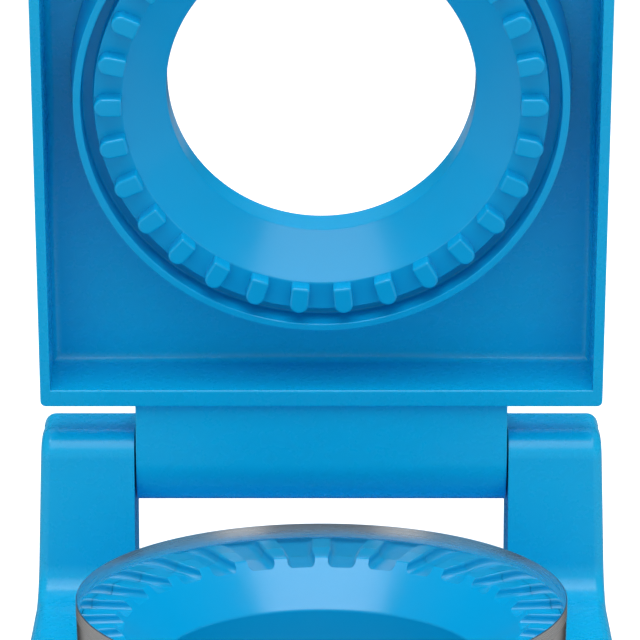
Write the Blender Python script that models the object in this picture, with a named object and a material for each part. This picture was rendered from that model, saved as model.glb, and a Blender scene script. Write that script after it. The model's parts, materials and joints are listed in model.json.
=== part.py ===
# Hinged sandwich cutter and sealer, a kitchen press of moulded plastic and steel.
# Metres, +Z up. X runs along the hinge, the hinge is at the back (+Y), and the origin is on the
# surface that the press stands on, under the middle of its base. The lid stands open.

import math

import bmesh
import bpy
from mathutils import Matrix, Vector

# Driving sizes of the whole press
blade_radius = 0.0489
blade_wall = 0.0008
blade_stand = 0.0232
side_margin = 0.0127
front_margin = 0.0117
lid_back_margin = 0.02055
hinge_reach = 0.0150
arm_depth = 0.0224
foot_stand = 0.0015
base_height = 0.0135
lid_angle = math.radians(79.15)
blade_bite = 0.0040
hinge_offset = 0.0101
tooth_count = 30

# Clearance between pieces that rest on, or fit in, each other, and the overrun of a cutter
gap = 0.0003
overrun = 0.0010
sink = 0.0004

# Fineness of round shapes
ring_facets = 60
small_facets = 16
screw_facets = 10
corner_steps = 6
pad_steps = 4
channel_steps = 2
fillet_steps = 5
edge_steps = 3
weld_distance = 0.000002
flat_angle = math.radians(0.5)
smooth_angle = math.radians(35.0)

# Colours
blue_plastic = (0.0, 0.30, 0.64)
white_acetal = (0.80, 0.80, 0.78)
dark_rubber = (0.04, 0.04, 0.045)
bright_steel = (0.62, 0.61, 0.60)

# Base moulding
base_wall = 0.0026
deck_wall = 0.0026
base_edge_round = 0.0023
wall_lean = 0.03
base_front_round = 0.0240
collar_wall = 0.0022
collar_clearance = 0.0003
rib_wall = 0.0018
rib_step_up = 0.0022
rib_spread = 0.0150
rib_ring_space = 0.0020
arm_width = 0.02145
arm_cap = 0.0061
arm_round = 0.0055
arm_foot_round = 0.0064
arm_wall = 0.0026
pin_boss_wall = 0.0024

# Blade ring
blade_flange = 0.0044
blade_edge_break = 0.0001
blade_ground_height = 0.0032
blade_ground_depth = 0.00055
blade_grip = 0.0061

# Lower crimp ring
land_drop = 0.0049
land_width = 0.00645
land_edge_round = 0.0004
channel_width = 0.0058
channel_depth = 0.0021
channel_corner = 0.0012
channel_flare = 0.0008
channel_floor_rise = 0.0004
cone_width = 0.00935
hole_edge_drop = 0.0135
ring_wall = 0.0020
ring_flange = 0.0024
ring_foot_clearance = 0.0015
ear_angle = math.radians(60.0)
ear_reach = 0.0052
ear_half_width = 0.0045
web_count = 8

# Screws
screw_shank_radius = 0.0013
screw_head_radius = 0.0027
screw_head_height = 0.0013
screw_dome_share = 0.35
screw_tip_chamfer = 0.0004
screw_length = 0.0062
screw_boss_wall = 0.0018
screw_slot_width = 0.0008
screw_slot_depth = 0.0008

# Feet
foot_radius = 0.0055
foot_recess = 0.0010
foot_peg_radius = 0.0022
foot_peg_length = 0.0060
foot_edge_round = 0.0004
foot_boss_wall = 0.0018
foot_inset = 0.0145
rear_foot_space = 0.0070

# Hinge
barrel_radius = 0.0109
barrel_wall = 0.0034
barrel_end_round = 0.0008
hinge_gap = 0.00035
pin_radius = 0.0025
pin_engagement = 0.0140
pin_end_chamfer = 0.0004
bush_length = 0.0120
bush_rim_wall = 0.0021
bush_flange = 0.0010
cap_radius = 0.0048
cap_thickness = 0.0016
cap_dome = 0.0005
cap_edge_round = 0.0004

# Lid moulding
lid_inset = 0.0016
lid_depth = 0.0156
lid_plate = 0.0024
lid_side_wall = 0.0022
lid_back_wall = 0.0038
lid_edge_round = 0.0022
lid_back_round = 0.0012
lid_inner_round = 0.0020
lid_front_round = 0.0240
tongue_low = 0.0015
tongue_high = 0.0005
grip_half_width = 0.0230
grip_reach = 0.0090
grip_thickness = 0.0040
grip_corner = 0.0080
grip_edge_round = 0.0012

# Upper crimp ring
groove_inner_clearance = 0.0008
groove_outer_clearance = 0.0010
groove_spare_depth = 0.0015
ring_rim_width = 0.0016
ring_rim_round = 0.0003
ring_draft = 0.0012
pad_length = 0.0060
pad_width = 0.0040
pad_rise = 0.0013
pad_inner_corner = 0.0006
pad_edge_round = 0.0007
pad_floor = 0.0022
pad_set_back = 0.0002
lid_cone_width = 0.0089
lid_hole_lip_height = 0.0100
spigot_ledge = 0.0020
lid_screw_space = 0.0020
lid_screw_floor = 0.0008

# Places worked out from the sizes above
base_half_width = blade_radius + side_margin
hinge_from_ring = blade_radius + lid_back_margin + hinge_reach
base_front_from_ring = -(blade_radius + front_margin)
base_back_from_ring = hinge_from_ring + arm_depth / 2
ring_y = -(base_front_from_ring + base_back_from_ring) / 2
base_front = ring_y + base_front_from_ring
base_back = ring_y + base_back_from_ring
hinge_y = ring_y + hinge_from_ring
base_low = foot_stand
deck_top = base_low + base_height
deck_low = deck_top - deck_wall
rim_z = deck_top + blade_stand
face_z = rim_z - blade_bite
hinge_z = face_z + hinge_offset
arm_top = hinge_z + arm_cap
arm_inner = base_half_width - arm_width
hinge_side = base_half_width - wall_lean * (hinge_z - base_low)
blade_inner = blade_radius - blade_wall
flange_radius = blade_radius + blade_flange
ear_radius = flange_radius + ear_reach
land_outer = blade_inner - gap
land_inner = land_outer - land_width
hole_radius = land_inner - cone_width
cone_slope = (hole_edge_drop - land_drop) / cone_width
collar_inner = blade_radius + collar_clearance
collar_outer = collar_inner + collar_wall
collar_low = deck_top - blade_grip
blade_flange_top = collar_low - gap
blade_low = blade_flange_top - blade_wall
ring_flange_top = blade_low - gap
ring_flange_low = ring_flange_top - ring_flange
screw_boss_radius = screw_shank_radius + gap + screw_boss_wall
lid_back = ring_y + blade_radius + lid_back_margin
lid_front = base_front + lid_inset
lid_half_width = base_half_width - lid_inset
plate_low = face_z + lid_depth
lid_top = plate_low + lid_plate
lid_screw_seat = plate_low + lid_screw_floor
groove_inner = blade_inner - groove_inner_clearance
groove_outer = blade_radius + groove_outer_clearance
band_inner = groove_inner - pad_length
lid_hole_radius = band_inner - lid_cone_width
spigot_radius = lid_hole_radius + ring_wall
tongue_half_width = arm_inner - hinge_gap
barrel_hollow = barrel_radius - barrel_wall
bush_flange_radius = barrel_radius - bush_rim_wall
pin_start = arm_inner - pin_engagement
pin_end = hinge_side - cap_thickness - gap


# Helpers

def arc(centre_u, centre_v, radius, start, end, steps):
    """Points along an arc, both ends included."""
    points = []
    for step in range(steps + 1):
        turn = start + (end - start) * step / steps
        points.append((centre_u + radius * math.cos(turn), centre_v + radius * math.sin(turn)))
    return points


def circle(centre_u, centre_v, radius, facets):
    """Points of a whole circle, the first not repeated."""
    return arc(centre_u, centre_v, radius, 0.0, math.tau, facets)[:-1]


def flat(u, v, w):
    """An outline drawn in X and Y, raised along Z."""
    return Vector((u, v, w))


def side(u, v, w):
    """An outline drawn in Y and Z, raised along X."""
    return Vector((w, u, v))


def new_object(name, shape):
    """A linked object that takes over a bmesh."""
    bmesh.ops.remove_doubles(shape, verts=shape.verts, dist=weld_distance)
    bmesh.ops.recalc_face_normals(shape, faces=shape.faces)
    mesh = bpy.data.meshes.new(name)
    shape.to_mesh(mesh)
    shape.free()
    created = bpy.data.objects.new(name, mesh)
    bpy.context.scene.collection.objects.link(created)
    return created


def add_prism(shape, outline, low, high, place):
    """Raise an outline into a closed block inside a bmesh, and return its new points."""
    bottom = [shape.verts.new(place(u, v, low)) for u, v in outline]
    face = shape.faces.new(bottom)
    raised = bmesh.ops.extrude_face_region(shape, geom=[face])
    top = [item for item in raised["geom"] if isinstance(item, bmesh.types.BMVert)]
    shift = place(0.0, 0.0, high) - place(0.0, 0.0, low)
    bmesh.ops.translate(shape, vec=shift, verts=top)
    return bottom + top


def prism(name, outline, low, high, place=flat):
    """A closed block of one outline."""
    shape = bmesh.new()
    add_prism(shape, outline, low, high, place)
    return new_object(name, shape)


def turned(name, profile, facets, closed=True, centre=(0.0, 0.0)):
    """Spin a profile of (radius, height) about a vertical axis through a centre."""
    shape = bmesh.new()
    points = [shape.verts.new((radius, 0.0, height)) for radius, height in profile]
    pairs = list(zip(points, points[1:]))
    if closed:
        pairs.append((points[-1], points[0]))
    edges = [shape.edges.new(pair) for pair in pairs]
    bmesh.ops.spin(
        shape, geom=points + edges, cent=(0.0, 0.0, 0.0), axis=(0.0, 0.0, 1.0),
        dvec=(0.0, 0.0, 0.0), angle=math.tau, steps=facets, use_merge=True)
    bmesh.ops.translate(shape, vec=(centre[0], centre[1], 0.0), verts=shape.verts)
    return new_object(name, shape)


def hinge_turned(name, profile, side_sign, closed=False):
    """Spin a profile of (radius, x) about the hinge axis, on one side of the press."""
    body = turned(name, profile, small_facets, closed=closed)
    body.data.transform(Matrix.Rotation(math.pi / 2, 4, "Y"))
    body.data.transform(Matrix.Translation((0.0, hinge_y, hinge_z)))
    if side_sign < 0:
        body.data.transform(Matrix.Scale(-1.0, 4, (1.0, 0.0, 0.0)))
        body.data.flip_normals()
    return body


def combine(body, tool, operation):
    """Apply a Boolean at once and remove the tool."""
    step = body.modifiers.new(operation.lower(), "BOOLEAN")
    step.operation = operation
    step.solver = "EXACT"
    step.object = tool
    graph = bpy.context.evaluated_depsgraph_get()
    result = bpy.data.meshes.new_from_object(body.evaluated_get(graph))
    body.modifiers.clear()
    body.data = result
    bpy.data.objects.remove(tool, do_unlink=True)
    return body


def tidy(body):
    """Join the flat faces that a Boolean has split, and weld its points."""
    shape = bmesh.new()
    shape.from_mesh(body.data)
    bmesh.ops.remove_doubles(shape, verts=shape.verts, dist=weld_distance)
    bmesh.ops.dissolve_limit(
        shape, angle_limit=flat_angle, verts=shape.verts, edges=shape.edges)
    shape.to_mesh(body.data)
    shape.free()
    return body


def bevel_where(body, test, width, steps):
    """Round the edges whose two ends pass a test."""
    shape = bmesh.new()
    shape.from_mesh(body.data)
    edges = [edge for edge in shape.edges if test(edge)]
    bmesh.ops.bevel(
        shape, geom=edges, offset=width, offset_type="OFFSET", segments=steps, profile=0.5,
        affect="EDGES", clamp_overlap=True)
    bmesh.ops.remove_doubles(shape, verts=shape.verts, dist=weld_distance)
    shape.to_mesh(body.data)
    shape.free()
    return body


def edge_at_height(height):
    """A test for edges that lie at one height."""
    return lambda edge: all(abs(vert.co.z - height) < weld_distance for vert in edge.verts)


def edge_at_x(place):
    """A test for edges that lie at one X."""
    return lambda edge: all(abs(vert.co.x - place) < weld_distance for vert in edge.verts)


def slab_outline(half_width, front, back, front_round, back_round):
    """A rounded rectangle in X and Y with its own radius at the front and at the back."""
    quarter = math.pi / 2
    right_front = arc(half_width - front_round, front + front_round, front_round,
                      -quarter, 0.0, corner_steps)
    right_back = arc(half_width - back_round, back - back_round, back_round,
                     0.0, quarter, edge_steps)
    half = right_front + right_back
    return half + [(-u, v) for u, v in reversed(half)]


def finish(body, colour, roughness, metallic=0.0):
    """Smooth the round faces and give the piece its material."""
    material = bpy.data.materials.new(body.name)
    material.use_nodes = True
    shader = material.node_tree.nodes["Principled BSDF"]
    shader.inputs["Base Color"].default_value = (*colour, 1.0)
    shader.inputs["Roughness"].default_value = roughness
    shader.inputs["Metallic"].default_value = metallic
    body.data.materials.clear()
    body.data.materials.append(material)
    body.data.shade_smooth()
    body.data.set_sharp_from_angle(angle=smooth_angle)
    return body


# Base

def four_places(across, front, rear):
    """Four places of a rectangle, named by their corners."""
    return {
        "front_left": (-across, front), "front_right": (across, front),
        "rear_left": (-across, rear), "rear_right": (across, rear)}


def corner_places():
    """The four foot places: two in the front corners and two in front of the arms."""
    arm_front = hinge_y - arm_depth / 2
    return four_places(base_half_width - foot_inset, base_front + foot_inset,
                       arm_front - rear_foot_space)


def ear_places():
    """The four screw places round the lower crimp ring."""
    across = ear_radius * math.cos(ear_angle)
    along = ear_radius * math.sin(ear_angle)
    return four_places(across, ring_y - along, ring_y + along)


def arm_profile(low):
    """One arm from the side: a hollow foot in front, rounded shoulders above."""
    front = hinge_y - arm_depth / 2
    back = hinge_y + arm_depth / 2
    quarter = math.pi / 2
    foot = arc(front - arm_foot_round, deck_top + arm_foot_round, arm_foot_round,
               -quarter, 0.0, fillet_steps)
    shoulder = arc(front + arm_round, arm_top - arm_round, arm_round,
                   math.pi, quarter, fillet_steps)
    back_shoulder = arc(back - arm_round, arm_top - arm_round, arm_round,
                        quarter, 0.0, fillet_steps)
    return [(front - arm_foot_round, low)] + foot + shoulder + back_shoulder + [(back, low)]


def make_arm(side_sign):
    """A solid arm, rounded along its outer edge."""
    outer = side_sign * base_half_width
    low, high = sorted((side_sign * arm_inner, outer))
    arm = prism("arm", arm_profile(base_low), low, high, side)
    on_outer_side = edge_at_x(outer)

    def rounded(edge):
        return on_outer_side(edge) and max(vert.co.z for vert in edge.verts) > deck_top - overrun / 2

    return bevel_where(arm, rounded, base_edge_round, edge_steps)


def lean_walls(body, half_width, front=-math.inf, front_round=0.0):
    """Lean the outer walls in towards the top, as a moulding leaves its mould."""
    border = base_edge_round + weld_distance
    for vert in body.data.vertices:
        run = wall_lean * (vert.co.z - base_low)
        across = math.copysign(1.0, vert.co.x)
        away = Vector((abs(vert.co.x) - half_width + front_round,
                       vert.co.y - front - front_round))
        if away.x > weld_distance and away.y < -weld_distance:
            away.normalize()
            vert.co.x -= across * run * away.x
            vert.co.y -= run * away.y
        elif abs(vert.co.x) > half_width - border:
            vert.co.x -= across * run
        elif vert.co.y < front + border:
            vert.co.y += run


def make_base_ribs():
    """Ribs under the rear deck: four along the press and one across, in front of the arms."""
    low = base_low + rib_step_up
    high = deck_low + sink
    back = base_back - base_wall / 2
    front = ring_y + flange_radius + rib_ring_space
    cross = hinge_y - arm_depth / 2
    edge = arm_inner + arm_wall / 2
    half = rib_wall / 2
    outline = [(-edge, cross - half), (edge, cross - half), (edge, cross + half),
               (-edge, cross + half)]
    ribs = prism("ribs", outline, low, high)
    for x in (-edge, -rib_spread, rib_spread, edge):
        outline = [(x - half, front), (x + half, front), (x + half, back), (x - half, back)]
        combine(ribs, prism("rib", outline, low, high), "UNION")
    return ribs


def make_base_frame():
    """The base moulding: a hollow slab, two hollow arms and a collar for the blade."""
    outline = slab_outline(base_half_width, base_front, base_back, base_front_round,
                           base_edge_round)
    body = prism("base_frame", outline, base_low, deck_top)
    bevel_where(body, edge_at_height(deck_top), base_edge_round, edge_steps)
    for side_sign in (-1, 1):
        combine(body, make_arm(side_sign), "UNION")
    lean_walls(body, base_half_width, base_front, base_front_round)

    inner = slab_outline(base_half_width - base_wall, base_front + base_wall,
                         base_back - base_wall, base_front_round - base_wall, base_edge_round)
    combine(body, prism("cavity", inner, base_low - overrun, deck_low), "DIFFERENCE")
    for side_sign in (-1, 1):
        near = side_sign * (arm_inner + arm_wall)
        far_width = base_half_width - arm_wall - sink
        low, high = sorted((near, side_sign * far_width))
        front = hinge_y - arm_depth / 2 + arm_wall
        back = hinge_y + arm_depth / 2 - arm_wall
        top = arm_top - arm_wall
        inner_round = arm_round - arm_wall
        outline = [(front, deck_low - overrun)]
        outline += arc(front + inner_round, top - inner_round, inner_round, math.pi,
                       math.pi / 2, edge_steps)
        outline += arc(back - inner_round, top - inner_round, inner_round, math.pi / 2,
                       0.0, edge_steps)
        outline += [(back, deck_low - overrun)]
        core = prism("arm_cavity", outline, low, high, side)
        lean_walls(core, far_width)
        combine(body, core, "DIFFERENCE")

    supports = bmesh.new()
    for x, y in ear_places().values():
        add_prism(supports, circle(x, y, screw_boss_radius, small_facets),
                  ring_flange_top + gap, deck_low + sink, flat)
    foot_boss_radius = foot_peg_radius + gap + foot_boss_wall
    for x, y in corner_places().values():
        add_prism(supports, circle(x, y, foot_boss_radius, small_facets),
                  base_low + foot_recess + gap, deck_low + sink, flat)
    combine(body, new_object("bosses", supports), "UNION")

    collar = turned("collar", [(collar_outer, collar_low), (collar_outer, deck_low + sink),
                               (collar_inner - sink, deck_low + sink),
                               (collar_inner - sink, collar_low)],
                    ring_facets, centre=(0.0, ring_y))
    combine(body, collar, "UNION")
    combine(body, make_base_ribs(), "UNION")

    for side_sign in (-1, 1):
        reach = sorted((side_sign * (arm_inner + sink), side_sign * (hinge_side - arm_wall / 2)))
        tube = prism("pin_boss", circle(hinge_y, hinge_z, pin_radius + gap + pin_boss_wall,
                                        small_facets), reach[0], reach[1], side)
        combine(body, tube, "UNION")

    cuts = bmesh.new()
    add_prism(cuts, circle(0.0, ring_y, collar_inner, ring_facets), base_low - overrun,
              deck_top + overrun, flat)
    for x, y in ear_places().values():
        add_prism(cuts, circle(x, y, screw_shank_radius + gap, screw_facets),
                  base_low - overrun, ring_flange_low + screw_length + gap, flat)
    for x, y in corner_places().values():
        add_prism(cuts, circle(x, y, foot_peg_radius + gap, small_facets),
                  base_low - overrun, base_low + foot_recess + foot_peg_length + gap, flat)
    combine(body, new_object("holes", cuts), "DIFFERENCE")
    start = arm_inner - overrun
    end = base_half_width + overrun
    cap_seat = hinge_side - cap_thickness - gap
    bore = [(0.0, start), (pin_radius + gap, start), (pin_radius + gap, cap_seat),
            (cap_radius + gap, cap_seat), (cap_radius + gap, end), (0.0, end)]
    for side_sign in (-1, 1):
        combine(body, hinge_turned("pin_bore", bore, side_sign), "DIFFERENCE")
    return finish(tidy(body), blue_plastic, 0.32)


def make_blade():
    """The cutting ring: a thin steel tube, ground inside the rim, with a turned-out flange."""
    bend = blade_wall
    edge = blade_edge_break
    profile = [
        (blade_radius - edge, rim_z), (blade_radius, rim_z - edge),
        (blade_radius, blade_flange_top), (flange_radius, blade_flange_top),
        (flange_radius, blade_low), (blade_inner + bend, blade_low),
        (blade_inner, blade_low + bend), (blade_inner, rim_z - blade_ground_height),
        (blade_inner + blade_ground_depth, rim_z)]
    body = turned("cutter_ring", profile, ring_facets, centre=(0.0, ring_y))
    return finish(body, bright_steel, 0.22, 1.0)


def make_channels():
    """Cutters for the rounded channels between the ridges, shallower towards the cone."""
    land_z = rim_z - land_drop
    floor_z = land_z - channel_depth
    start = land_inner - channel_depth / cone_slope - overrun
    end = land_outer + overrun
    half = channel_width / 2
    right = [(half + channel_flare, land_z + overrun), (half + channel_flare, land_z),
             (half, land_z - channel_flare)]
    corner = arc(half - channel_corner, floor_z + channel_corner, channel_corner, 0.0,
                 -math.pi / 2, channel_steps)
    half_section = right + corner
    section = half_section + [(-u, v) for u, v in reversed(half_section)]
    cutters = bmesh.new()
    for index in range(tooth_count):
        turn = Matrix.Rotation(math.tau * index / tooth_count, 4, "Z")

        def place(u, v, w):
            rise = channel_floor_rise if w == start else 0.0
            return turn @ Vector((w, u, v + rise))

        bottom = [cutters.verts.new(place(u, v, start)) for u, v in section]
        top = [cutters.verts.new(place(u, v, end)) for u, v in section]
        cutters.faces.new(bottom)
        cutters.faces.new(top)
        for first in range(len(section)):
            second = (first + 1) % len(section)
            cutters.faces.new((bottom[first], bottom[second], top[second], top[first]))
    bmesh.ops.translate(cutters, vec=(0.0, ring_y, 0.0), verts=cutters.verts)
    return new_object("channels", cutters)


def make_lower_crimp_ring():
    """The lower sealing ring: channelled land, cone and hole, on a screwed flange."""
    land_z = rim_z - land_drop
    under_land = land_z - channel_depth - ring_wall
    under_cone = rim_z - hole_edge_drop - ring_wall
    tube_outer = hole_radius + ring_wall
    tube_low = base_low + ring_foot_clearance
    profile = [
        (land_outer, land_z), (land_outer, ring_flange_top),
        (flange_radius, ring_flange_top), (flange_radius, ring_flange_low),
        (land_outer - ring_wall, ring_flange_low), (land_outer - ring_wall, under_land),
        (land_inner, under_land), (tube_outer, under_cone), (tube_outer, tube_low),
        (hole_radius, tube_low), (hole_radius, rim_z - hole_edge_drop),
        (land_inner - land_edge_round, land_z - land_edge_round * cone_slope),
        (land_inner + land_edge_round, land_z)]
    body = turned("lower_crimp_ring", profile, ring_facets, centre=(0.0, ring_y))

    ears = bmesh.new()
    for x, y in ear_places().values():
        away = Vector((x, y - ring_y)).normalized()
        across = Vector((-away.y, away.x)) * ear_half_width
        root = away * (land_outer + sink)
        tip = arc(x, y, ear_half_width, math.atan2(away.y, away.x) - math.pi / 2,
                  math.atan2(away.y, away.x) + math.pi / 2, corner_steps)
        outline = [(root.x - across.x, ring_y + root.y - across.y)] + tip
        outline += [(root.x + across.x, ring_y + root.y + across.y)]
        add_prism(ears, outline, ring_flange_low, ring_flange_top, flat)
    combine(body, new_object("ears", ears), "UNION")

    webs = bmesh.new()
    for index in range(web_count):
        turn = math.tau * (index + 0.5) / web_count
        along = Vector((math.cos(turn), math.sin(turn)))
        across = Vector((-along.y, along.x)) * rib_wall / 2
        near = along * (tube_outer - sink)
        far = along * (land_outer - ring_wall + sink)
        outline = [(spot.x, ring_y + spot.y) for spot in
                   (near - across, far - across, far + across, near + across)]
        add_prism(webs, outline, ring_flange_low, under_cone + sink, flat)
    combine(body, new_object("webs", webs), "UNION")

    combine(body, make_channels(), "DIFFERENCE")
    holes = bmesh.new()
    for x, y in ear_places().values():
        add_prism(holes, circle(x, y, screw_shank_radius + gap, screw_facets),
                  ring_flange_low - overrun, ring_flange_top + overrun, flat)
    combine(body, new_object("ear_holes", holes), "DIFFERENCE")
    return finish(tidy(body), blue_plastic, 0.30)


def make_screw(name, x, y, seat, direction):
    """A slotted pan-head screw; direction is +1 where the shank points up."""
    tip = seat + direction * screw_length
    head_top = seat - direction * gap
    head_end = head_top - direction * screw_head_height
    dome = screw_head_height * screw_dome_share
    profile = [
        (0.0, tip), (screw_shank_radius - screw_tip_chamfer, tip),
        (screw_shank_radius, tip - direction * screw_tip_chamfer),
        (screw_shank_radius, head_top), (screw_head_radius, head_top),
        (screw_head_radius, head_end + direction * dome),
        (screw_head_radius - dome, head_end), (0.0, head_end)]
    body = turned(name, profile, screw_facets, closed=False, centre=(x, y))
    half = screw_slot_width / 2
    outline = [(x - screw_head_radius, y - half), (x + screw_head_radius, y - half),
               (x + screw_head_radius, y + half), (x - screw_head_radius, y + half)]
    low, high = sorted((head_end - direction * overrun,
                        head_end + direction * screw_slot_depth))
    combine(body, prism("slot", outline, low, high), "DIFFERENCE")
    return finish(body, bright_steel, 0.30, 1.0)


def make_foot(name, x, y):
    """A rubber foot with a peg that is pushed up into its boss."""
    top = base_low + foot_recess
    profile = [
        (0.0, 0.0), (foot_radius - foot_edge_round, 0.0), (foot_radius, foot_edge_round),
        (foot_radius, top), (foot_peg_radius, top),
        (foot_peg_radius - foot_edge_round, top + foot_peg_length),
        (0.0, top + foot_peg_length)]
    body = turned(name, profile, small_facets, closed=False, centre=(x, y))
    return finish(body, dark_rubber, 0.85)


# Hinge

def make_pin(name, side_sign):
    """A steel pin from the cap's seat in the arm to its hold in the lid's barrel."""
    profile = [
        (0.0, pin_start), (pin_radius - pin_end_chamfer, pin_start),
        (pin_radius, pin_start + pin_end_chamfer), (pin_radius, pin_end - pin_end_chamfer),
        (pin_radius - pin_end_chamfer, pin_end), (0.0, pin_end)]
    body = hinge_turned(name, profile, side_sign)
    return finish(body, bright_steel, 0.25, 1.0)


def make_cap(name, side_sign):
    """A push-in cap that hides the pin's end in the arm's outer side."""
    inner = hinge_side - cap_thickness
    outer = hinge_side - cap_dome
    profile = [
        (0.0, inner), (cap_radius, inner), (cap_radius, outer - cap_edge_round),
        (cap_radius - cap_edge_round, outer), (0.0, outer + cap_dome / 2)]
    body = hinge_turned(name, profile, side_sign)
    return finish(body, blue_plastic, 0.32)


def make_bush(name, side_sign):
    """A flanged bush pressed into the barrel's end, which turns stiffly on the pin."""
    outer = tongue_half_width
    inner = outer - bush_length
    bore = pin_radius + gap
    sleeve = barrel_hollow - gap
    profile = [
        (bore, outer), (bore, inner), (sleeve, inner), (sleeve, outer - bush_flange),
        (bush_flange_radius, outer - bush_flange), (bush_flange_radius, outer)]
    body = hinge_turned(name, profile, side_sign, closed=True)
    return finish(body, white_acetal, 0.40)


# Lid, modelled as it lies when shut

def tangent_turn(centre, radius, point, sense):
    """The turn on a circle where a line from a point outside touches it."""
    reach = Vector(point) - Vector(centre)
    spread = math.acos(radius / reach.length)
    return math.atan2(reach.y, reach.x) + sense * spread


def tongue_outline():
    """The tongue from the side: a round barrel blended into the lid's back wall."""
    centre = (hinge_y, hinge_z)
    low_root = (lid_back, face_z + tongue_low)
    high_root = (lid_back, lid_top - tongue_high)
    start = tangent_turn(centre, barrel_radius, low_root, 1) - math.tau
    end = tangent_turn(centre, barrel_radius, high_root, -1)
    while start > end:
        start -= math.tau
    while end - start > math.tau:
        start += math.tau
    around = arc(hinge_y, hinge_z, barrel_radius, start, end, 4 * fillet_steps)
    inside = lid_back - lid_back_wall / 2
    return [(inside, low_root[1]), low_root] + around + [high_root, (inside, high_root[1])]


def make_lid_frame():
    """The lid moulding: a square tray with the hinge tongue behind and a grip in front."""
    outline = slab_outline(lid_half_width, lid_front, lid_back, lid_front_round, lid_back_round)
    body = prism("lid_frame", outline, face_z, lid_top)
    bevel_where(body, edge_at_height(lid_top), lid_edge_round, edge_steps)

    inner = slab_outline(lid_half_width - lid_side_wall, lid_front + lid_side_wall,
                         lid_back - lid_back_wall, lid_front_round - lid_side_wall,
                         lid_inner_round)
    tray = prism("tray", inner, face_z - overrun, plate_low)
    bevel_where(tray, edge_at_height(plate_low), lid_inner_round, edge_steps)
    combine(body, tray, "DIFFERENCE")

    grip = [(-grip_half_width, lid_front + lid_side_wall / 2)]
    grip += arc(-grip_half_width + grip_corner, lid_front - grip_reach + grip_corner,
                grip_corner, math.pi, math.pi * 3 / 2, corner_steps)
    grip += arc(grip_half_width - grip_corner, lid_front - grip_reach + grip_corner,
                grip_corner, math.pi * 3 / 2, math.tau, corner_steps)
    grip += [(grip_half_width, lid_front + lid_side_wall / 2)]
    grip_top = lid_top - lid_edge_round
    grip_low = grip_top - grip_thickness
    tab = prism("grip", grip, grip_low, grip_top)

    def grip_edge(edge):
        level = edge_at_height(grip_low)(edge) or edge_at_height(grip_top)(edge)
        return level and max(vert.co.y for vert in edge.verts) < lid_front + weld_distance

    bevel_where(tab, grip_edge, grip_edge_round, edge_steps)
    combine(body, tab, "UNION")

    tongue = prism("tongue", tongue_outline(), -tongue_half_width, tongue_half_width, side)

    def tongue_end(edge):
        at_end = edge_at_x(tongue_half_width)(edge) or edge_at_x(-tongue_half_width)(edge)
        return at_end and max(vert.co.y for vert in edge.verts) > lid_back + weld_distance

    bevel_where(tongue, tongue_end, barrel_end_round, edge_steps - 1)
    combine(body, tongue, "UNION")

    hollow = prism("barrel_hollow", circle(hinge_y, hinge_z, barrel_hollow, small_facets),
                   -tongue_half_width - overrun, tongue_half_width + overrun, side)
    combine(body, hollow, "DIFFERENCE")
    for side_sign in (-1, 1):
        seat = side_sign * (tongue_half_width - bush_flange - gap)
        outer = side_sign * (tongue_half_width + overrun)
        low, high = sorted((seat, outer))
        counterbore = prism("bush_seat", circle(hinge_y, hinge_z, bush_flange_radius + gap,
                                                small_facets), low, high, side)
        combine(body, counterbore, "DIFFERENCE")

    holes = bmesh.new()
    add_prism(holes, circle(0.0, ring_y, spigot_radius + gap, ring_facets),
              plate_low - overrun, lid_top + overrun, flat)
    for x, y in lid_screw_places().values():
        add_prism(holes, circle(x, y, screw_shank_radius + gap, screw_facets),
                  plate_low - overrun, lid_top + overrun, flat)
    combine(body, new_object("holes", holes), "DIFFERENCE")
    recesses = bmesh.new()
    for x, y in lid_screw_places().values():
        add_prism(recesses, circle(x, y, screw_head_radius + gap, small_facets),
                  lid_screw_seat, lid_top + overrun, flat)
    combine(body, new_object("recesses", recesses), "DIFFERENCE")
    return finish(tidy(body), blue_plastic, 0.32)


def lid_screw_places():
    """The four screw places round the lid's hole, on its diagonals."""
    radius = spigot_radius + screw_boss_radius + lid_screw_space
    across = radius * math.cos(math.pi / 4)
    return four_places(across, ring_y - across, ring_y + across)


def make_pads():
    """The raised crimp teeth, round at the groove and square towards the hole."""
    outer = groove_inner - pad_set_back
    inner = band_inner
    half = pad_width / 2
    crest = face_z - pad_rise
    quarter = math.pi / 2
    outline = arc(outer - half, 0.0, half, -quarter, quarter, pad_steps)
    outline += arc(inner + pad_inner_corner, half - pad_inner_corner, pad_inner_corner,
                   quarter, math.pi, 1)
    outline += arc(inner + pad_inner_corner, -half + pad_inner_corner, pad_inner_corner,
                   math.pi, 3 * quarter, 1)
    one = prism("pad", outline, crest, face_z + pad_floor + sink)
    bevel_where(one, edge_at_height(crest), pad_edge_round, 1)
    pads = bmesh.new()
    for index in range(tooth_count):
        first = len(pads.verts)
        pads.from_mesh(one.data)
        pads.verts.ensure_lookup_table()
        fresh = pads.verts[first:]
        turn = Matrix.Rotation(math.tau * index / tooth_count, 4, "Z")
        bmesh.ops.transform(pads, matrix=turn, verts=fresh)
    bpy.data.objects.remove(one, do_unlink=True)
    bmesh.ops.translate(pads, vec=(0.0, ring_y, 0.0), verts=pads.verts)
    return new_object("pads", pads)


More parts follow.
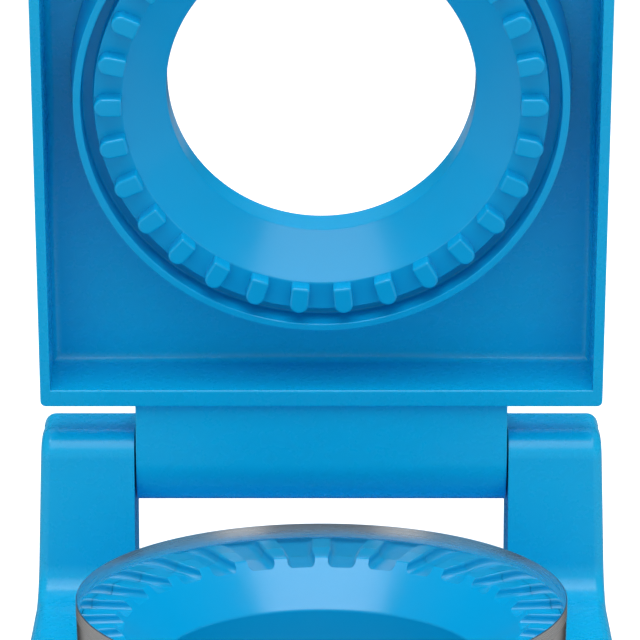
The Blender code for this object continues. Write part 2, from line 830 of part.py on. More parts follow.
def make_upper_crimp_ring():
    """The upper sealing ring: rim, blade groove, toothed band, cone and spigot."""
    rim_outer = groove_outer + ring_rim_width
    groove_floor = face_z + blade_bite + groove_spare_depth
    band_floor = face_z + pad_floor
    seat = plate_low - gap
    lip = face_z + lid_hole_lip_height
    ledge = spigot_radius + spigot_ledge
    profile = [
        (rim_outer, face_z), (rim_outer + ring_draft, seat),
        (groove_outer + ring_draft, seat),
        (groove_outer + ring_rim_round, groove_floor + ring_wall),
        (groove_inner - ring_wall / 2, groove_floor + ring_wall),
        (band_inner + ring_wall, band_floor + ring_wall * 2),
        (ledge, lip + ring_wall), (ledge, seat), (spigot_radius, seat),
        (spigot_radius, lid_top - gap),
        (lid_hole_radius, lid_top - gap), (lid_hole_radius, lip),
        (band_inner, band_floor), (groove_inner - ring_rim_round, band_floor),
        (groove_inner, band_floor + ring_rim_round), (groove_inner, groove_floor),
        (groove_outer, groove_floor), (groove_outer, face_z)]
    body = turned("upper_crimp_ring", profile, ring_facets, centre=(0.0, ring_y))
    combine(body, make_pads(), "UNION")

    bosses = bmesh.new()
    for x, y in lid_screw_places().values():
        add_prism(bosses, circle(x, y, screw_boss_radius, small_facets),
                  groove_floor + ring_wall - sink, seat, flat)
    combine(body, new_object("ring_bosses", bosses), "UNION")
    pilots = bmesh.new()
    pilot_low = lid_screw_seat - screw_length - gap
    for x, y in lid_screw_places().values():
        add_prism(pilots, circle(x, y, screw_shank_radius + gap, screw_facets),
                  pilot_low, seat + overrun, flat)
    combine(body, new_object("pilots", pilots), "DIFFERENCE")
    return finish(tidy(body), blue_plastic, 0.30)


# The whole press

def build():
    """Make every piece, then hang the lid's pieces on the hinge at their open angle."""
    for existing in list(bpy.data.objects):
        bpy.data.objects.remove(existing, do_unlink=True)

    make_base_frame()
    make_blade()
    make_lower_crimp_ring()
    for corner, (x, y) in ear_places().items():
        make_screw("base_screw_" + corner, x, y, ring_flange_low, 1)
    for corner, (x, y) in corner_places().items():
        make_foot("foot_" + corner, x, y)
    for side_name, side_sign in (("left", -1), ("right", 1)):
        make_pin("hinge_pin_" + side_name, side_sign)
        make_cap("hinge_cap_" + side_name, side_sign)

    moving = [make_lid_frame(), make_upper_crimp_ring()]
    for corner, (x, y) in lid_screw_places().items():
        moving.append(make_screw("lid_screw_" + corner, x, y, lid_screw_seat, -1))
    for side_name, side_sign in (("left", -1), ("right", 1)):
        moving.append(make_bush("hinge_bush_" + side_name, side_sign))

    hinge = bpy.data.objects.new("lid_hinge", None)
    bpy.context.scene.collection.objects.link(hinge)
    hinge.location = (0.0, hinge_y, hinge_z)
    hinge.rotation_euler = (-lid_angle, 0.0, 0.0)
    for piece in moving:
        piece.data.transform(Matrix.Translation((0.0, -hinge_y, -hinge_z)))
        piece.parent = hinge


build()
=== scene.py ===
# %% [markdown]
# # A hinged cutter and sealer
# The press has a base with a steel cutting ring, and a lid whose toothed ring comes down over
# it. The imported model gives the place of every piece. These cells model each piece again with
# smooth rounds and fine edges, give it a finish, and let it ride on the base or on the lid.

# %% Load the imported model
import json
import math

import bmesh
import bpy
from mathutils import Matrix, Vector


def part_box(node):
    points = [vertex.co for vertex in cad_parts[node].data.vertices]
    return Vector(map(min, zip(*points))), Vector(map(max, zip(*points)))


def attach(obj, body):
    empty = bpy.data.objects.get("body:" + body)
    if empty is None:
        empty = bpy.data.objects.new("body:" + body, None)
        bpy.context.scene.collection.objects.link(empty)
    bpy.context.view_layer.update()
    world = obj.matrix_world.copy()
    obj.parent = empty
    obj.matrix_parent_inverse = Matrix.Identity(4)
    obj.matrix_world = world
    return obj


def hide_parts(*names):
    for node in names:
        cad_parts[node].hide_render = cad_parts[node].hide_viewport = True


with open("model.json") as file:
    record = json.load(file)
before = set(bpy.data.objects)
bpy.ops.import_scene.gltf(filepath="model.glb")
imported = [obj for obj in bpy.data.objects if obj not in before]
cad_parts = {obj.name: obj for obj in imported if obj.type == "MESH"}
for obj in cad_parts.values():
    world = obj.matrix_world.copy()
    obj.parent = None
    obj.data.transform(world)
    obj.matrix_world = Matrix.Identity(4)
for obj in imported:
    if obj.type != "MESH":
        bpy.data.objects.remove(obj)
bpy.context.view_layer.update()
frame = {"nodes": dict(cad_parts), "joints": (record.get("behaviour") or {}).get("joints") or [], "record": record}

print("nodes:", len(frame["nodes"]))

# %% [markdown]
# ## Sizes read from the imported model
# Nothing here is placed by eye. The steel ring's box gives the middle of the press's round
# pieces, the joint gives the hinge line, and the box of the base gives the heights. The lid is
# modelled as it lies when shut, because there all its faces are level, and it is swung open at
# the end.

# %% Shared sizes
touch = 0.00001
gap = 0.0003
overrun = 0.001
sink = 0.0004
fine_break = 0.0002
edge_break = 0.0003
wide_break = 0.0004

joint = frame["joints"][0]
hinge_point = Vector(joint["pos_m"])
open_angle = math.radians(joint["range_deg"][1])

ring_low, ring_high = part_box("cutter_ring")
base_low, base_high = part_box("base_frame")
ring_y = (ring_low.y + ring_high.y) / 2
rim_z = ring_high.z
base_half = base_high.x
blade_height = 0.0232
blade_entry = 0.0040
deck_top = rim_z - blade_height
face_z = rim_z - blade_entry
arm_depth = 0.0224
arm_width = 0.02145
arm_inner = base_half - arm_width
arm_front = hinge_point.y - arm_depth / 2
blade_radius = 0.0489
steel_sheet = 0.0008
blade_inner = blade_radius - steel_sheet
wall_lean = 0.03
hinge_side = base_half - wall_lean * (hinge_point.z - base_low.z)
print("ring centre y", round(ring_y, 5), "rim", round(rim_z, 5), "deck", round(deck_top, 5))

# %% [markdown]
# ## Hand tools for modelling
# Blender's mesh operators act on what is selected. So each step here starts by selecting
# nothing, then takes up one piece, then picks its edges or faces by where they lie. That is
# what a person does with the mouse, and it makes every step repeatable.


# %% Selecting
def leave_edit():
    """Go back from a piece's points to the piece."""
    bpy.ops.object.mode_set(mode="OBJECT")


def clear_selection():
    """Leave edit mode and let go of every object."""
    if bpy.context.mode != "OBJECT":
        leave_edit()
    bpy.ops.object.select_all(action="DESELECT")


def hold(piece):
    """Take up one piece alone."""
    clear_selection()
    piece.select_set(True)
    bpy.context.view_layer.objects.active = piece


def pick(piece, kind, test=lambda part: True):
    """In edit mode, select the points, edges or faces that pass a test, or all of them."""
    hold(piece)
    bpy.ops.object.mode_set(mode="EDIT")
    bpy.ops.mesh.select_mode(type=kind)
    bpy.ops.mesh.select_all(action="DESELECT")
    mesh = bmesh.from_edit_mesh(piece.data)
    parts = {"VERT": mesh.verts, "EDGE": mesh.edges, "FACE": mesh.faces}[kind]
    picked = 0
    for part in parts:
        if test(part):
            part.select_set(True)
            picked += 1
    mesh.select_flush_mode()
    bmesh.update_edit_mesh(piece.data)
    return picked


def near(value, place):
    """Whether a coordinate lies at a place."""
    return abs(value - place) < touch


def all_at(part, axis, place):
    """Whether every point of an edge or face lies at one place on an axis."""
    return all(near(point.co[axis], place) for point in part.verts)


def at_sides(part, place):
    """Whether an edge or face lies at one distance from the middle, on either side."""
    return all_at(part, X, place) or all_at(part, X, -place)


def level(place):
    """A test for what lies level at one height."""
    return lambda part: all_at(part, Z, place)


X, Y, Z = 0, 1, 2
print("selection tools ready")


# %% Blocks, rods, bevels and cuts
def settle():
    """Write the place, turn and size of what is held into its mesh."""
    bpy.ops.object.transform_apply(location=True, rotation=True, scale=True)


def pull(step):
    """Extrude what is picked along a step."""
    bpy.ops.mesh.extrude_region_move(TRANSFORM_OT_translate={"value": step})


def slide(x=0.0, y=0.0, z=0.0):
    """Move what is picked or held."""
    bpy.ops.transform.translate(value=(x, y, z))


def add_block(name, low, high):
    """A box primitive between two corners."""
    clear_selection()
    middle = [(a + b) / 2 for a, b in zip(low, high)]
    size = [b - a for a, b in zip(low, high)]
    bpy.ops.mesh.primitive_cube_add(size=1.0, location=middle, scale=size)
    piece = bpy.context.active_object
    piece.name = name
    settle()
    return piece


def add_rod(name, start, length, radius, axis=Z, sides=64):
    """A cylinder primitive that runs from a point along X or Z."""
    clear_selection()
    middle = Vector(start)
    middle[axis] += length / 2
    turn = (0.0, math.pi / 2, 0.0) if axis == X else (0.0, 0.0, 0.0)
    bpy.ops.mesh.primitive_cylinder_add(vertices=sides, radius=radius, depth=abs(length),
                                        location=middle, rotation=turn)
    piece = bpy.context.active_object
    piece.name = name
    settle()
    return piece


def round_edges(piece, test, radius, steps):
    """Bevel the edges that pass a test into a round."""
    picked = pick(piece, "EDGE", test)
    bpy.ops.mesh.bevel(offset=radius, offset_type="OFFSET", segments=steps, profile=0.5,
                       affect="EDGES", clamp_overlap=True)
    leave_edit()
    return picked


def round_corners(piece, x, y, radius, steps):
    """Bevel the two upright corners of a block at one of its ends."""
    return round_edges(piece, lambda edge: all_at(edge, Y, y) and at_sides(edge, x), radius,
                       steps)


def combine(piece, tool, operation):
    """Unite a piece with a tool, or cut the tool out of it, and clear the tool away."""
    hold(piece)
    step = piece.modifiers.new("combine", "BOOLEAN")
    step.operation = operation
    step.solver = "EXACT"
    step.object = tool
    bpy.ops.object.modifier_apply(modifier=step.name)
    bpy.data.objects.remove(tool, do_unlink=True)
    return piece


def drill(piece, start, length, radius, axis=Z, sides=64):
    """Cut a round hole into a piece."""
    return combine(piece, add_rod("hole", start, length, radius, axis, sides), "DIFFERENCE")


def build_up(piece, start, length, radius, axis=Z):
    """Unite a piece with a round boss."""
    return combine(piece, add_rod("boss", start, length, radius, axis), "UNION")


def join(pieces):
    """Make one object of several that don't touch."""
    hold(pieces[0])
    for piece in pieces:
        piece.select_set(True)
    bpy.ops.object.join()
    return bpy.context.active_object


def open_edges(piece):
    """How many edges don't lie between exactly two faces. A closed body has none."""
    mesh = bmesh.new()
    mesh.from_mesh(piece.data)
    count = sum(1 for edge in mesh.edges if len(edge.link_faces) != 2)
    mesh.free()
    return count


def clean(piece, flat_turn=0.4):
    """Merge flat neighbours that a cut has split."""
    pick(piece, "FACE")
    bpy.ops.mesh.remove_doubles(threshold=touch / 5)
    bpy.ops.mesh.dissolve_limited(angle_limit=math.radians(flat_turn), delimit={"NORMAL"})
    leave_edit()
    return piece


def shift(piece, *step):
    """Move a piece and keep its origin."""
    hold(piece)
    slide(*step)
    settle()
    return piece


def swing(piece, angle, axis, centre):
    """Turn a piece about a line along an axis and keep its origin."""
    hold(piece)
    bpy.ops.transform.rotate(value=angle, orient_axis=axis, center_override=centre)
    settle()
    return piece


def copy_of(piece):
    """Copy a piece, with a mesh of its own."""
    hold(piece)
    bpy.ops.object.duplicate(linked=False)
    return bpy.context.active_object


def smooth(piece, angle=32.0):
    """Shade the rounds smooth and keep the flats flat."""
    hold(piece)
    bpy.ops.object.shade_smooth_by_angle(angle=math.radians(angle), keep_sharp_edges=False)
    step = piece.modifiers.new("weights", "WEIGHTED_NORMAL")
    step.mode = "FACE_AREA"
    step.keep_sharp = True
    bpy.ops.object.modifier_apply(modifier=step.name)
    clear_selection()
    return piece


print("modelling tools ready")

# %% [markdown]
# ## Turning on a lathe
# Half the pieces of this press are round. Each is drawn as a line in the plane of X and Z,
# point by point, by extruding a single point along it. Then the line is spun about an upright
# axis. A line that ends on the axis closes by itself, and a closed line makes a ring. A
# primitive cylinder with many insets could give the same shapes, with far more steps.


# %% Lines and turned pieces
def arc(u, v, radius, start, end, steps):
    """Points along an arc, in degrees, ends included."""
    points = []
    for step in range(steps + 1):
        turn = math.radians(start + (end - start) * step / steps)
        points.append((u + radius * math.cos(turn), v + radius * math.sin(turn)))
    return points


def draw_line(name, points):
    """Keep one point of a plane primitive and extrude it along a line."""
    clear_selection()
    bpy.ops.mesh.primitive_plane_add(size=overrun, location=points[0])
    piece = bpy.context.active_object
    piece.name = name
    bpy.ops.object.mode_set(mode="EDIT")
    bpy.ops.mesh.select_mode(type="VERT")
    bpy.ops.mesh.select_all(action="SELECT")
    bpy.ops.mesh.merge(type="CENTER")
    for start, end in zip(points, points[1:]):
        pull(Vector(end) - Vector(start))
    leave_edit()
    settle()
    return piece


def turn_piece(name, profile, steps, centre=(0.0, 0.0)):
    """Spin a line of (radius, height) points. One that starts off the axis is closed first."""
    points = [(centre[0] + radius, centre[1], height) for radius, height in profile]
    if profile[0][0] > 0:
        points.append(points[0])
    piece = draw_line(name, points)
    pick(piece, "VERT")
    bpy.ops.mesh.remove_doubles(threshold=touch / 10)
    bpy.ops.mesh.select_all(action="SELECT")
    bpy.ops.mesh.spin(steps=steps, angle=math.tau, center=(*centre, 0.0), axis=(0.0, 0.0, 1.0),
                      use_auto_merge=True)
    bpy.ops.mesh.select_all(action="SELECT")
    bpy.ops.mesh.remove_doubles(threshold=touch / 10)
    bpy.ops.mesh.normals_make_consistent(inside=False)
    leave_edit()
    return piece


def extrude_outline(name, points, step):
    """Fill a drawn outline and extrude it along a step."""
    piece = draw_line(name, points)
    pick(piece, "VERT")
    bpy.ops.mesh.edge_face_add()
    pull(step)
    bpy.ops.mesh.select_all(action="SELECT")
    bpy.ops.mesh.normals_make_consistent(inside=False)
    leave_edit()
    return piece


def to_hinge_line(piece, side_sign):
    """Lay a piece that was turned upright along the hinge, on one side of the press."""
    swing(piece, -side_sign * math.pi / 2, "Y", origin)
    return shift(piece, 0.0, hinge_point.y, hinge_point.z)


origin = (0.0, 0.0, 0.0)
ring_axis = (0.0, ring_y)
print("lathe ready")

# %% [markdown]
# ## The steel cutting ring
# This is a strip of stainless steel, rolled and welded into a tube, with a flange turned out
# below. Its upper end is ground hollow on the inside, a little more towards the top, which
# leaves a narrow flat rim. Turning one closed line gives the wall, the ground band and the
# bend of the flange.

# %% Steel ring
blade_grip = 0.0061
flange_reach = 0.0044
flange_radius = blade_radius + flange_reach
collar_low = deck_top - blade_grip
flange_top = collar_low - gap
flange_low = flange_top - steel_sheet
rim_break = 0.0001
ground_height = 0.0032
ground_depth = 0.00055
bend = steel_sheet
flange_round = steel_sheet / 2
ring_line = arc(blade_radius - rim_break, rim_z - rim_break, rim_break, 90, 0, 4)
ring_line += [(blade_radius, flange_top + rim_break), (blade_radius + rim_break, flange_top)]
ring_line += arc(flange_radius - flange_round, flange_top - flange_round, flange_round,
                 90, -90, 6)
ring_line += arc(blade_inner + bend, flange_low + bend, bend, 270, 180, 5)
ground_steps = 8
ground_hollow = 1.7
for step in range(ground_steps + 1):
    share = step / ground_steps
    ring_line.append((blade_inner + ground_depth * share ** ground_hollow,
                      rim_z - ground_height * (1 - share)))
steel_ring = turn_piece("steel_ring", ring_line, 192, ring_axis)
smooth(steel_ring, 30.0)
print("steel ring faces:", len(steel_ring.data.polygons))

# %% [markdown]
# ## The lower crimp ring
# Inside the steel ring sits a moulded ring. Its level land, which the teeth press against, is
# cut by rounded channels that run out to the steel, and from the land a cone falls to a round
# hole. The ring is turned first. One channel cutter is drawn as a section and extruded across
# the land, then it is copied round the ring and all copies are cut at once, so every channel
# is the same.

# %% Lower ring, turned
ring_wall = 0.0020
slit = 0.00003
land_outer = blade_inner - slit
land_width = 0.00645
land_drop = 0.0049
cone_width = 0.00935
hole_drop = 0.0135
land_inner = blade_inner - gap - land_width
land_z = rim_z - land_drop
hole_radius = land_inner - cone_width
hole_edge_z = rim_z - hole_drop
channel_depth = 0.0021
tube_lift = 0.0015
tube_low = base_low.z + tube_lift
ring_flange_top = flange_low - gap
ring_flange = 0.0024
ring_flange_low = ring_flange_top - ring_flange
cone_fall = math.degrees(math.atan2(land_z - hole_edge_z, land_inner - hole_radius))
land_round = 0.0009
lip_round = 0.0008
land_centre = (land_inner + land_round * math.tan(math.radians(cone_fall / 2)),
               land_z - land_round)
lip_half = math.radians(90 - cone_fall) / 2
lip_centre = (hole_radius + lip_round, hole_edge_z - lip_round * math.tan(lip_half))
under_land = land_z - channel_depth - ring_wall
tube_radius = hole_radius + ring_wall
lower_line = [
    (land_outer - slit, land_z), (land_outer, land_z - slit), (land_outer, ring_flange_top),
    (flange_radius - edge_break, ring_flange_top),
    (flange_radius, ring_flange_top - edge_break),
    (flange_radius, ring_flange_low + edge_break),
    (flange_radius - edge_break, ring_flange_low), (land_outer - ring_wall, ring_flange_low),
    (land_outer - ring_wall, under_land), (land_inner, under_land),
    (tube_radius, hole_edge_z - ring_wall), (tube_radius, tube_low + wide_break),
    (tube_radius - wide_break, tube_low), (hole_radius + wide_break, tube_low),
    (hole_radius, tube_low + wide_break)]
lower_line += arc(lip_centre[0], lip_centre[1], lip_round, 180, 90 + cone_fall, 5)
lower_line += arc(land_centre[0], land_centre[1], land_round, 90 + cone_fall, 90, 6)
lower_ring = turn_piece("lower_ring", lower_line, 180, ring_axis)
print("lower ring faces:", len(lower_ring.data.polygons), "cone", round(cone_fall, 1))

# %% [markdown]
# The channels get their rounded floor and the soft shoulders of the ridges between them from
# the cutter's own section: an arc of 1.2 mm at each foot and one of 0.8 mm, turned the other
# way, at each shoulder. The cutter rises a little towards the cone, so the channels get
# shallower there. Where they end on the cone, their edges are beveled to a wide round, so each
# mouth looks like a small cup.

# %% Channels
tooth_count = 30
channel_half = 0.0029
channel_rise = 0.0004
shoulder = 0.0008
channel_round = 0.0012
mouth_round = 0.0008
mouth_turn = 16
floor_z = land_z - channel_depth
right_side = [(channel_half + shoulder, land_z + overrun)]
right_side += arc(channel_half + shoulder, land_z - shoulder, shoulder, 90, 180, 5)
right_side += arc(channel_half - channel_round, floor_z + channel_round, channel_round,
                  0, -90, 7)
section = right_side + [(-u, v) for u, v in reversed(right_side)]
channel_start = land_inner - channel_depth / math.tan(math.radians(cone_fall)) - overrun
channel_end = land_outer + overrun
outline = [(channel_end, ring_y + u, v) for u, v in section]
channel = extrude_outline("channel", outline,
                          (channel_start - channel_end, 0.0, channel_rise))


def copies_round(piece, count, centre):
    """Copy a piece round an upright axis."""
    copies = [piece]
    for index in range(1, count):
        copies.append(swing(copy_of(piece), -math.tau * index / count, "Z", centre))
    return copies


ring_centre = (0.0, ring_y, 0.0)
channels = join(copies_round(channel, tooth_count, ring_centre))
combine(lower_ring, channels, "DIFFERENCE")


def from_axis(point):
    """The distance of a point from the rings' axis."""
    return math.hypot(point.co.x, point.co.y - ring_y)


def channel_mouth(edge):
    """Where a channel's surface breaks out through the cone."""
    if len(edge.link_faces) != 2 or edge.calc_face_angle(0.0) < math.radians(mouth_turn):
        return False
    return max(from_axis(point) for point in edge.verts) < land_inner + land_round and min(
        point.co.z for point in edge.verts) > floor_z - touch


mouths = round_edges(lower_ring, channel_mouth, mouth_round, 4)
print("lower ring with channels:", len(lower_ring.data.polygons), "mouth edges", mouths,
      "open", open_edges(lower_ring))

# %% [markdown]
# Below, the ring has four ears for its screws and thin webs that stiffen its cone. Nobody sees
# them in use, but they hold the ring, so they are there when the press is turned over.

# %% Ears and webs
ear_angles = (60, 120, 240, 300)
ear_reach = 0.0052
ear_radius = flange_radius + ear_reach
ear_half = 0.0045
screw_radius = 0.0013
web_count = 8
web_half = 0.0009


def polar(radius, degrees):
    """A point at a distance from the rings' axis."""
    turn = math.radians(degrees)
    return Vector((radius * math.cos(turn), ring_y + radius * math.sin(turn), 0.0))


for degrees in ear_angles:
    tip = polar(ear_radius, degrees)
    along = (tip - polar(0.0, 0)).normalized()
    across = Vector((-along.y, along.x, 0.0)) * ear_half
    root = polar(land_outer + sink, degrees)
    end = arc(tip.x, tip.y, ear_half, degrees - 90, degrees + 90, 12)
    points = [root - across, *[Vector((x, y, 0.0)) for x, y in end], root + across]
    lift = Vector((0.0, 0.0, ring_flange_low))
    ear = extrude_outline("ear", [point + lift for point in points], (0.0, 0.0, ring_flange))
    combine(lower_ring, ear, "UNION")
for degrees in ear_angles:
    drill(lower_ring, polar(ear_radius, degrees) + lift - Vector((0, 0, overrun)),
          ring_flange + 2 * overrun, screw_radius + gap)
web_top = hole_edge_z - ring_wall + sink
web = add_block("web", (tube_radius - sink, ring_y - web_half, ring_flange_low),
                (land_outer - ring_wall + sink, ring_y + web_half, web_top))
swing(web, -math.pi / web_count, "Z", ring_centre)
combine(lower_ring, join(copies_round(web, web_count, ring_centre)), "UNION")
smooth(clean(lower_ring), 35.0)
print("lower ring finished:", len(lower_ring.data.polygons), "faces")

# %% [markdown]
# ## The base
# The base is one moulding: a deck with a skirt, and two broad arms that rise at the back and
# flare into the deck. By hand this is a block whose top is divided by two planes, and the two
# rear corners are extruded up into arms. Its outer walls lean in towards the top, so that it
# comes out of the mould, and for that the upper points are drawn in a little. Then every round
# is a bevel, the wide ones first, because a small bevel can run over a wide one but not the
# other way round.

# %% Base block and arms
arm_over_hinge = 0.0061
arm_top = hinge_point.z + arm_over_hinge
arm_lean = wall_lean * (arm_top - deck_top)
front_round = 0.0240
arm_round = 0.0055
arm_foot_round = 0.0064
outer_round = 0.0023
front_steps = 20
base = add_block("base_shell", (-base_half, base_low.y, base_low.z),
                 (base_half, base_high.y, deck_top))
round_corners(base, base_half, base_low.y, front_round, front_steps)
draw_in = wall_lean * (deck_top - base_low.z)
pick(base, "VERT", lambda point: point.co.z > deck_top - touch)
bpy.ops.transform.resize(value=(1 - draw_in / base_half, 1 - draw_in / (
    base_high.y - base_low.y), 1.0), center_override=(0.0, base_high.y, deck_top))
leave_edit()
for place, normal in (((arm_inner, 0, 0), (1, 0, 0)), ((-arm_inner, 0, 0), (1, 0, 0)),
                      ((0, arm_front, 0), (0, 1, 0))):
    pick(base, "FACE")
    bpy.ops.mesh.bisect(plane_co=place, plane_no=normal, use_fill=False)
picked = pick(base, "FACE", lambda face: all_at(face, Z, deck_top) and face.normal.z > 0.9
              and abs(face.calc_center_median().x) > arm_inner
              and face.calc_center_median().y > arm_front)
pull((0.0, 0.0, arm_top - deck_top))
for sign in (-1, 1):
    pick(base, "VERT", lambda point: point.co.z > arm_top - touch
         and sign * point.co.x > arm_inner + touch)
    slide(x=-sign * arm_lean)
leave_edit()
print("arm faces raised:", picked, "open", open_edges(base))


# %% Base rounds
side_depth = 0.0018


def turns_away(edge):
    """Whether an edge has one face in a side wall and another that turns away from it."""
    slopes = [abs(face.normal.x) for face in edge.link_faces]
    return max(slopes) > 0.99 and min(slopes) < 0.5


def on_side(edge):
    """Whether an edge bounds an outer side of the base."""
    inmost = min(abs(point.co.x) for point in edge.verts)
    return inmost >= base_half - side_depth and turns_away(edge)


def is_seam(edge):
    """Whether an edge only divides a flat side of the base, its back or the middle deck."""
    if len(edge.link_faces) != 2 or edge.calc_face_angle(0.0) > math.radians(0.5):
        return False
    if all_at(edge, Z, deck_top):
        return max(abs(point.co.x) for point in edge.verts) < arm_inner + touch and all_at(
            edge, Y, arm_front)
    return True


pick(base, "EDGE", is_seam)
bpy.ops.mesh.dissolve_edges(use_verts=True)
feet_edges = round_edges(base, lambda edge: all_at(edge, Y, arm_front)
                         and all_at(edge, Z, deck_top)
                         and min(abs(p.co.x) for p in edge.verts) > arm_inner - touch,
                         arm_foot_round, 10)
shoulders = round_edges(base, lambda edge: all_at(edge, Z, arm_top)
                        and (all_at(edge, Y, arm_front) or all_at(edge, Y, base_high.y)),
                        arm_round, 10)
print("foot fillets", feet_edges, "shoulders", shoulders, "open", open_edges(base))
clean(base)
print("open", open_edges(base))


def outer_rim(edge):
    """The edge that runs round the deck, up the arms' outer sides and down their backs."""
    if on_side(edge) and not all_at(edge, Z, base_low.z):
        return True
    up = [face.normal.z for face in edge.link_faces]
    at_front = max(point.co.y for point in edge.verts) < base_low.y + front_round + sink
    return all_at(edge, Z, deck_top) and at_front and max(up) > 0.9 and min(up) < 0.5


print("outer rim edges", round_edges(base, outer_rim, outer_round, 6), open_edges(base))


def inner_arm_edge(edge):
    """The edges of the arms that face each other."""
    high = max(point.co.z for point in edge.verts) > deck_top + touch
    return high and at_sides(edge, arm_inner) and turns_away(edge)


print("inner arm edges", round_edges(base, inner_arm_edge, edge_break, 2), open_edges(base))

# %% [markdown]
# The underside is hollow, as a moulding has to be, so the walls stay thin and even. A block
# with rounded corners is cut out of it, and the arms are cored out from below. Ribs, screw
# bosses, foot bosses and a collar for the steel ring are then added back.

# %% Base underside
wall = 0.0026
cavity_round = 0.0006
deck_low = deck_top - wall
cavity = add_block("cavity", (-base_half + wall, base_low.y + wall, base_low.z - overrun),
                   (base_half - wall, base_high.y - wall, deck_low))
round_corners(cavity, base_half - wall, base_low.y + wall, front_round - wall, front_steps)
round_edges(cavity, level(deck_low), cavity_round, 3)
combine(base, cavity, "DIFFERENCE")
for sign in (-1, 1):
    far = base_half - wall - sink - wall_lean * (deck_low - base_low.z)
    reach = sorted((sign * (arm_inner + wall), sign * far))
    core = add_block("core", (reach[0], arm_front + wall, deck_low - overrun),
                     (reach[1], base_high.y - wall, arm_top - wall))
    pick(core, "VERT", lambda point: point.co.z > deck_top and sign * point.co.x > far - touch)
    slide(x=-sign * arm_lean)
    leave_edit()
    round_edges(core, level(arm_top - wall), arm_round - wall, 4)
    combine(base, core, "DIFFERENCE")
print("base hollowed:", len(base.data.polygons))

# %% Ribs, bosses and collar
rib_half = 0.0009
middle_rib = 0.0150
rib_lift = 0.0022
rib_room = 0.0020
rib_low = base_low.z + rib_lift
rib_high = deck_low + sink
rib_edge = arm_inner + wall / 2
rib_front = ring_y + flange_radius + rib_room
rib_back = base_high.y - wall / 2
across_rib = add_block("rib", (-rib_edge, arm_front - rib_half, rib_low),
                       (rib_edge, arm_front + rib_half, rib_high))
for x in (-rib_edge, -middle_rib, middle_rib, rib_edge):
    long_rib = add_block("rib", (x - rib_half, rib_front, rib_low),
                         (x + rib_half, rib_back, rib_high))
    combine(across_rib, long_rib, "UNION")
combine(base, across_rib, "UNION")


def four_corners(across, front, back):
    """Four places of a rectangle, by name."""
    return {"front_left": (-across, front), "front_right": (across, front),
            "rear_left": (-across, back), "rear_right": (across, back)}


foot_inset = 0.0145
rear_foot_gap = 0.0070
foot_places = four_corners(base_half - foot_inset, base_low.y + foot_inset,
                           arm_front - rear_foot_gap)
foot_height = 0.0010
foot_seat = base_low.z + foot_height
peg_radius = 0.0022
peg_length = 0.0060
boss_wall = 0.0018
boss_low = foot_seat + gap
for x, y in foot_places.values():
    build_up(base, (x, y, boss_low), rib_high - boss_low, peg_radius + gap + boss_wall)
screw_length = 0.0062
for degrees in ear_angles:
    place = polar(ear_radius, degrees)
    place.z = ring_flange_top + gap
    build_up(base, place, rib_high - place.z, screw_radius + gap + boss_wall)
collar_inner = blade_radius + gap
collar_wall = 0.0022
collar_outer = collar_inner + collar_wall
collar = turn_piece("collar", [
    (collar_outer, collar_low + edge_break), (collar_outer, rib_high),
    (collar_inner - sink, rib_high), (collar_inner - sink, collar_low),
    (collar_outer - edge_break, collar_low)], 144, ring_axis)
combine(base, collar, "UNION")
print("base fitted out:", len(base.data.polygons))

# %% Holes in the base
round_cut = turn_piece("deck_hole", [
    (0.0, base_low.z - overrun), (collar_inner, base_low.z - overrun),
    (collar_inner, deck_top - edge_break), (collar_inner + edge_break, deck_top),
    (collar_inner + edge_break, deck_top + overrun), (0.0, deck_top + overrun)],
    144, ring_axis)
combine(base, round_cut, "DIFFERENCE")
start_z = base_low.z - overrun
for x, y in foot_places.values():
    drill(base, (x, y, start_z), foot_seat + peg_length + gap - start_z, peg_radius + gap)
for degrees in ear_angles:
    place = polar(ear_radius, degrees)
    drill(base, (place.x, place.y, start_z), ring_flange_low + screw_length + gap - start_z,
          screw_radius + gap)
pin_radius = 0.0025
cap_radius = 0.0048
cap_thickness = 0.0016
pin_boss_wall = 0.0024
pin_boss = pin_radius + gap + pin_boss_wall
cap_seat = hinge_side - cap_thickness - gap
for sign in (-1, 1):
    reach = sorted((sign * (arm_inner + sink), sign * (hinge_side - wall / 2)))
    build_up(base, (reach[0], hinge_point.y, hinge_point.z), reach[1] - reach[0], pin_boss, X)
    bore = turn_piece("bore", [
        (0.0, arm_inner - overrun), (pin_radius + gap, arm_inner - overrun),
        (pin_radius + gap, cap_seat), (cap_radius + gap, cap_seat),
        (cap_radius + gap, base_half + overrun), (0.0, base_half + overrun)], 64)
    combine(base, to_hinge_line(bore, sign), "DIFFERENCE")
smooth(clean(base))
print("base finished:", len(base.data.polygons), "faces")

# %% [markdown]
# ## Feet, screws, pins, caps and bushes
# These are small turned pieces. Each kind is modelled once and copied to its places, and each
# copy has a mesh of its own. The feet are soft, so their edges are round. A screw is turned
# with its thread as a row of ridges, and its slot is a thin block cut out of the head.


# %% Copies at places
def place_copy(piece, name, x, y, z=0.0):
    """Copy a piece that was made on the axis to a place on the press."""
    copy = copy_of(piece)
    copy.name = name
    return shift(copy, x, y, z)


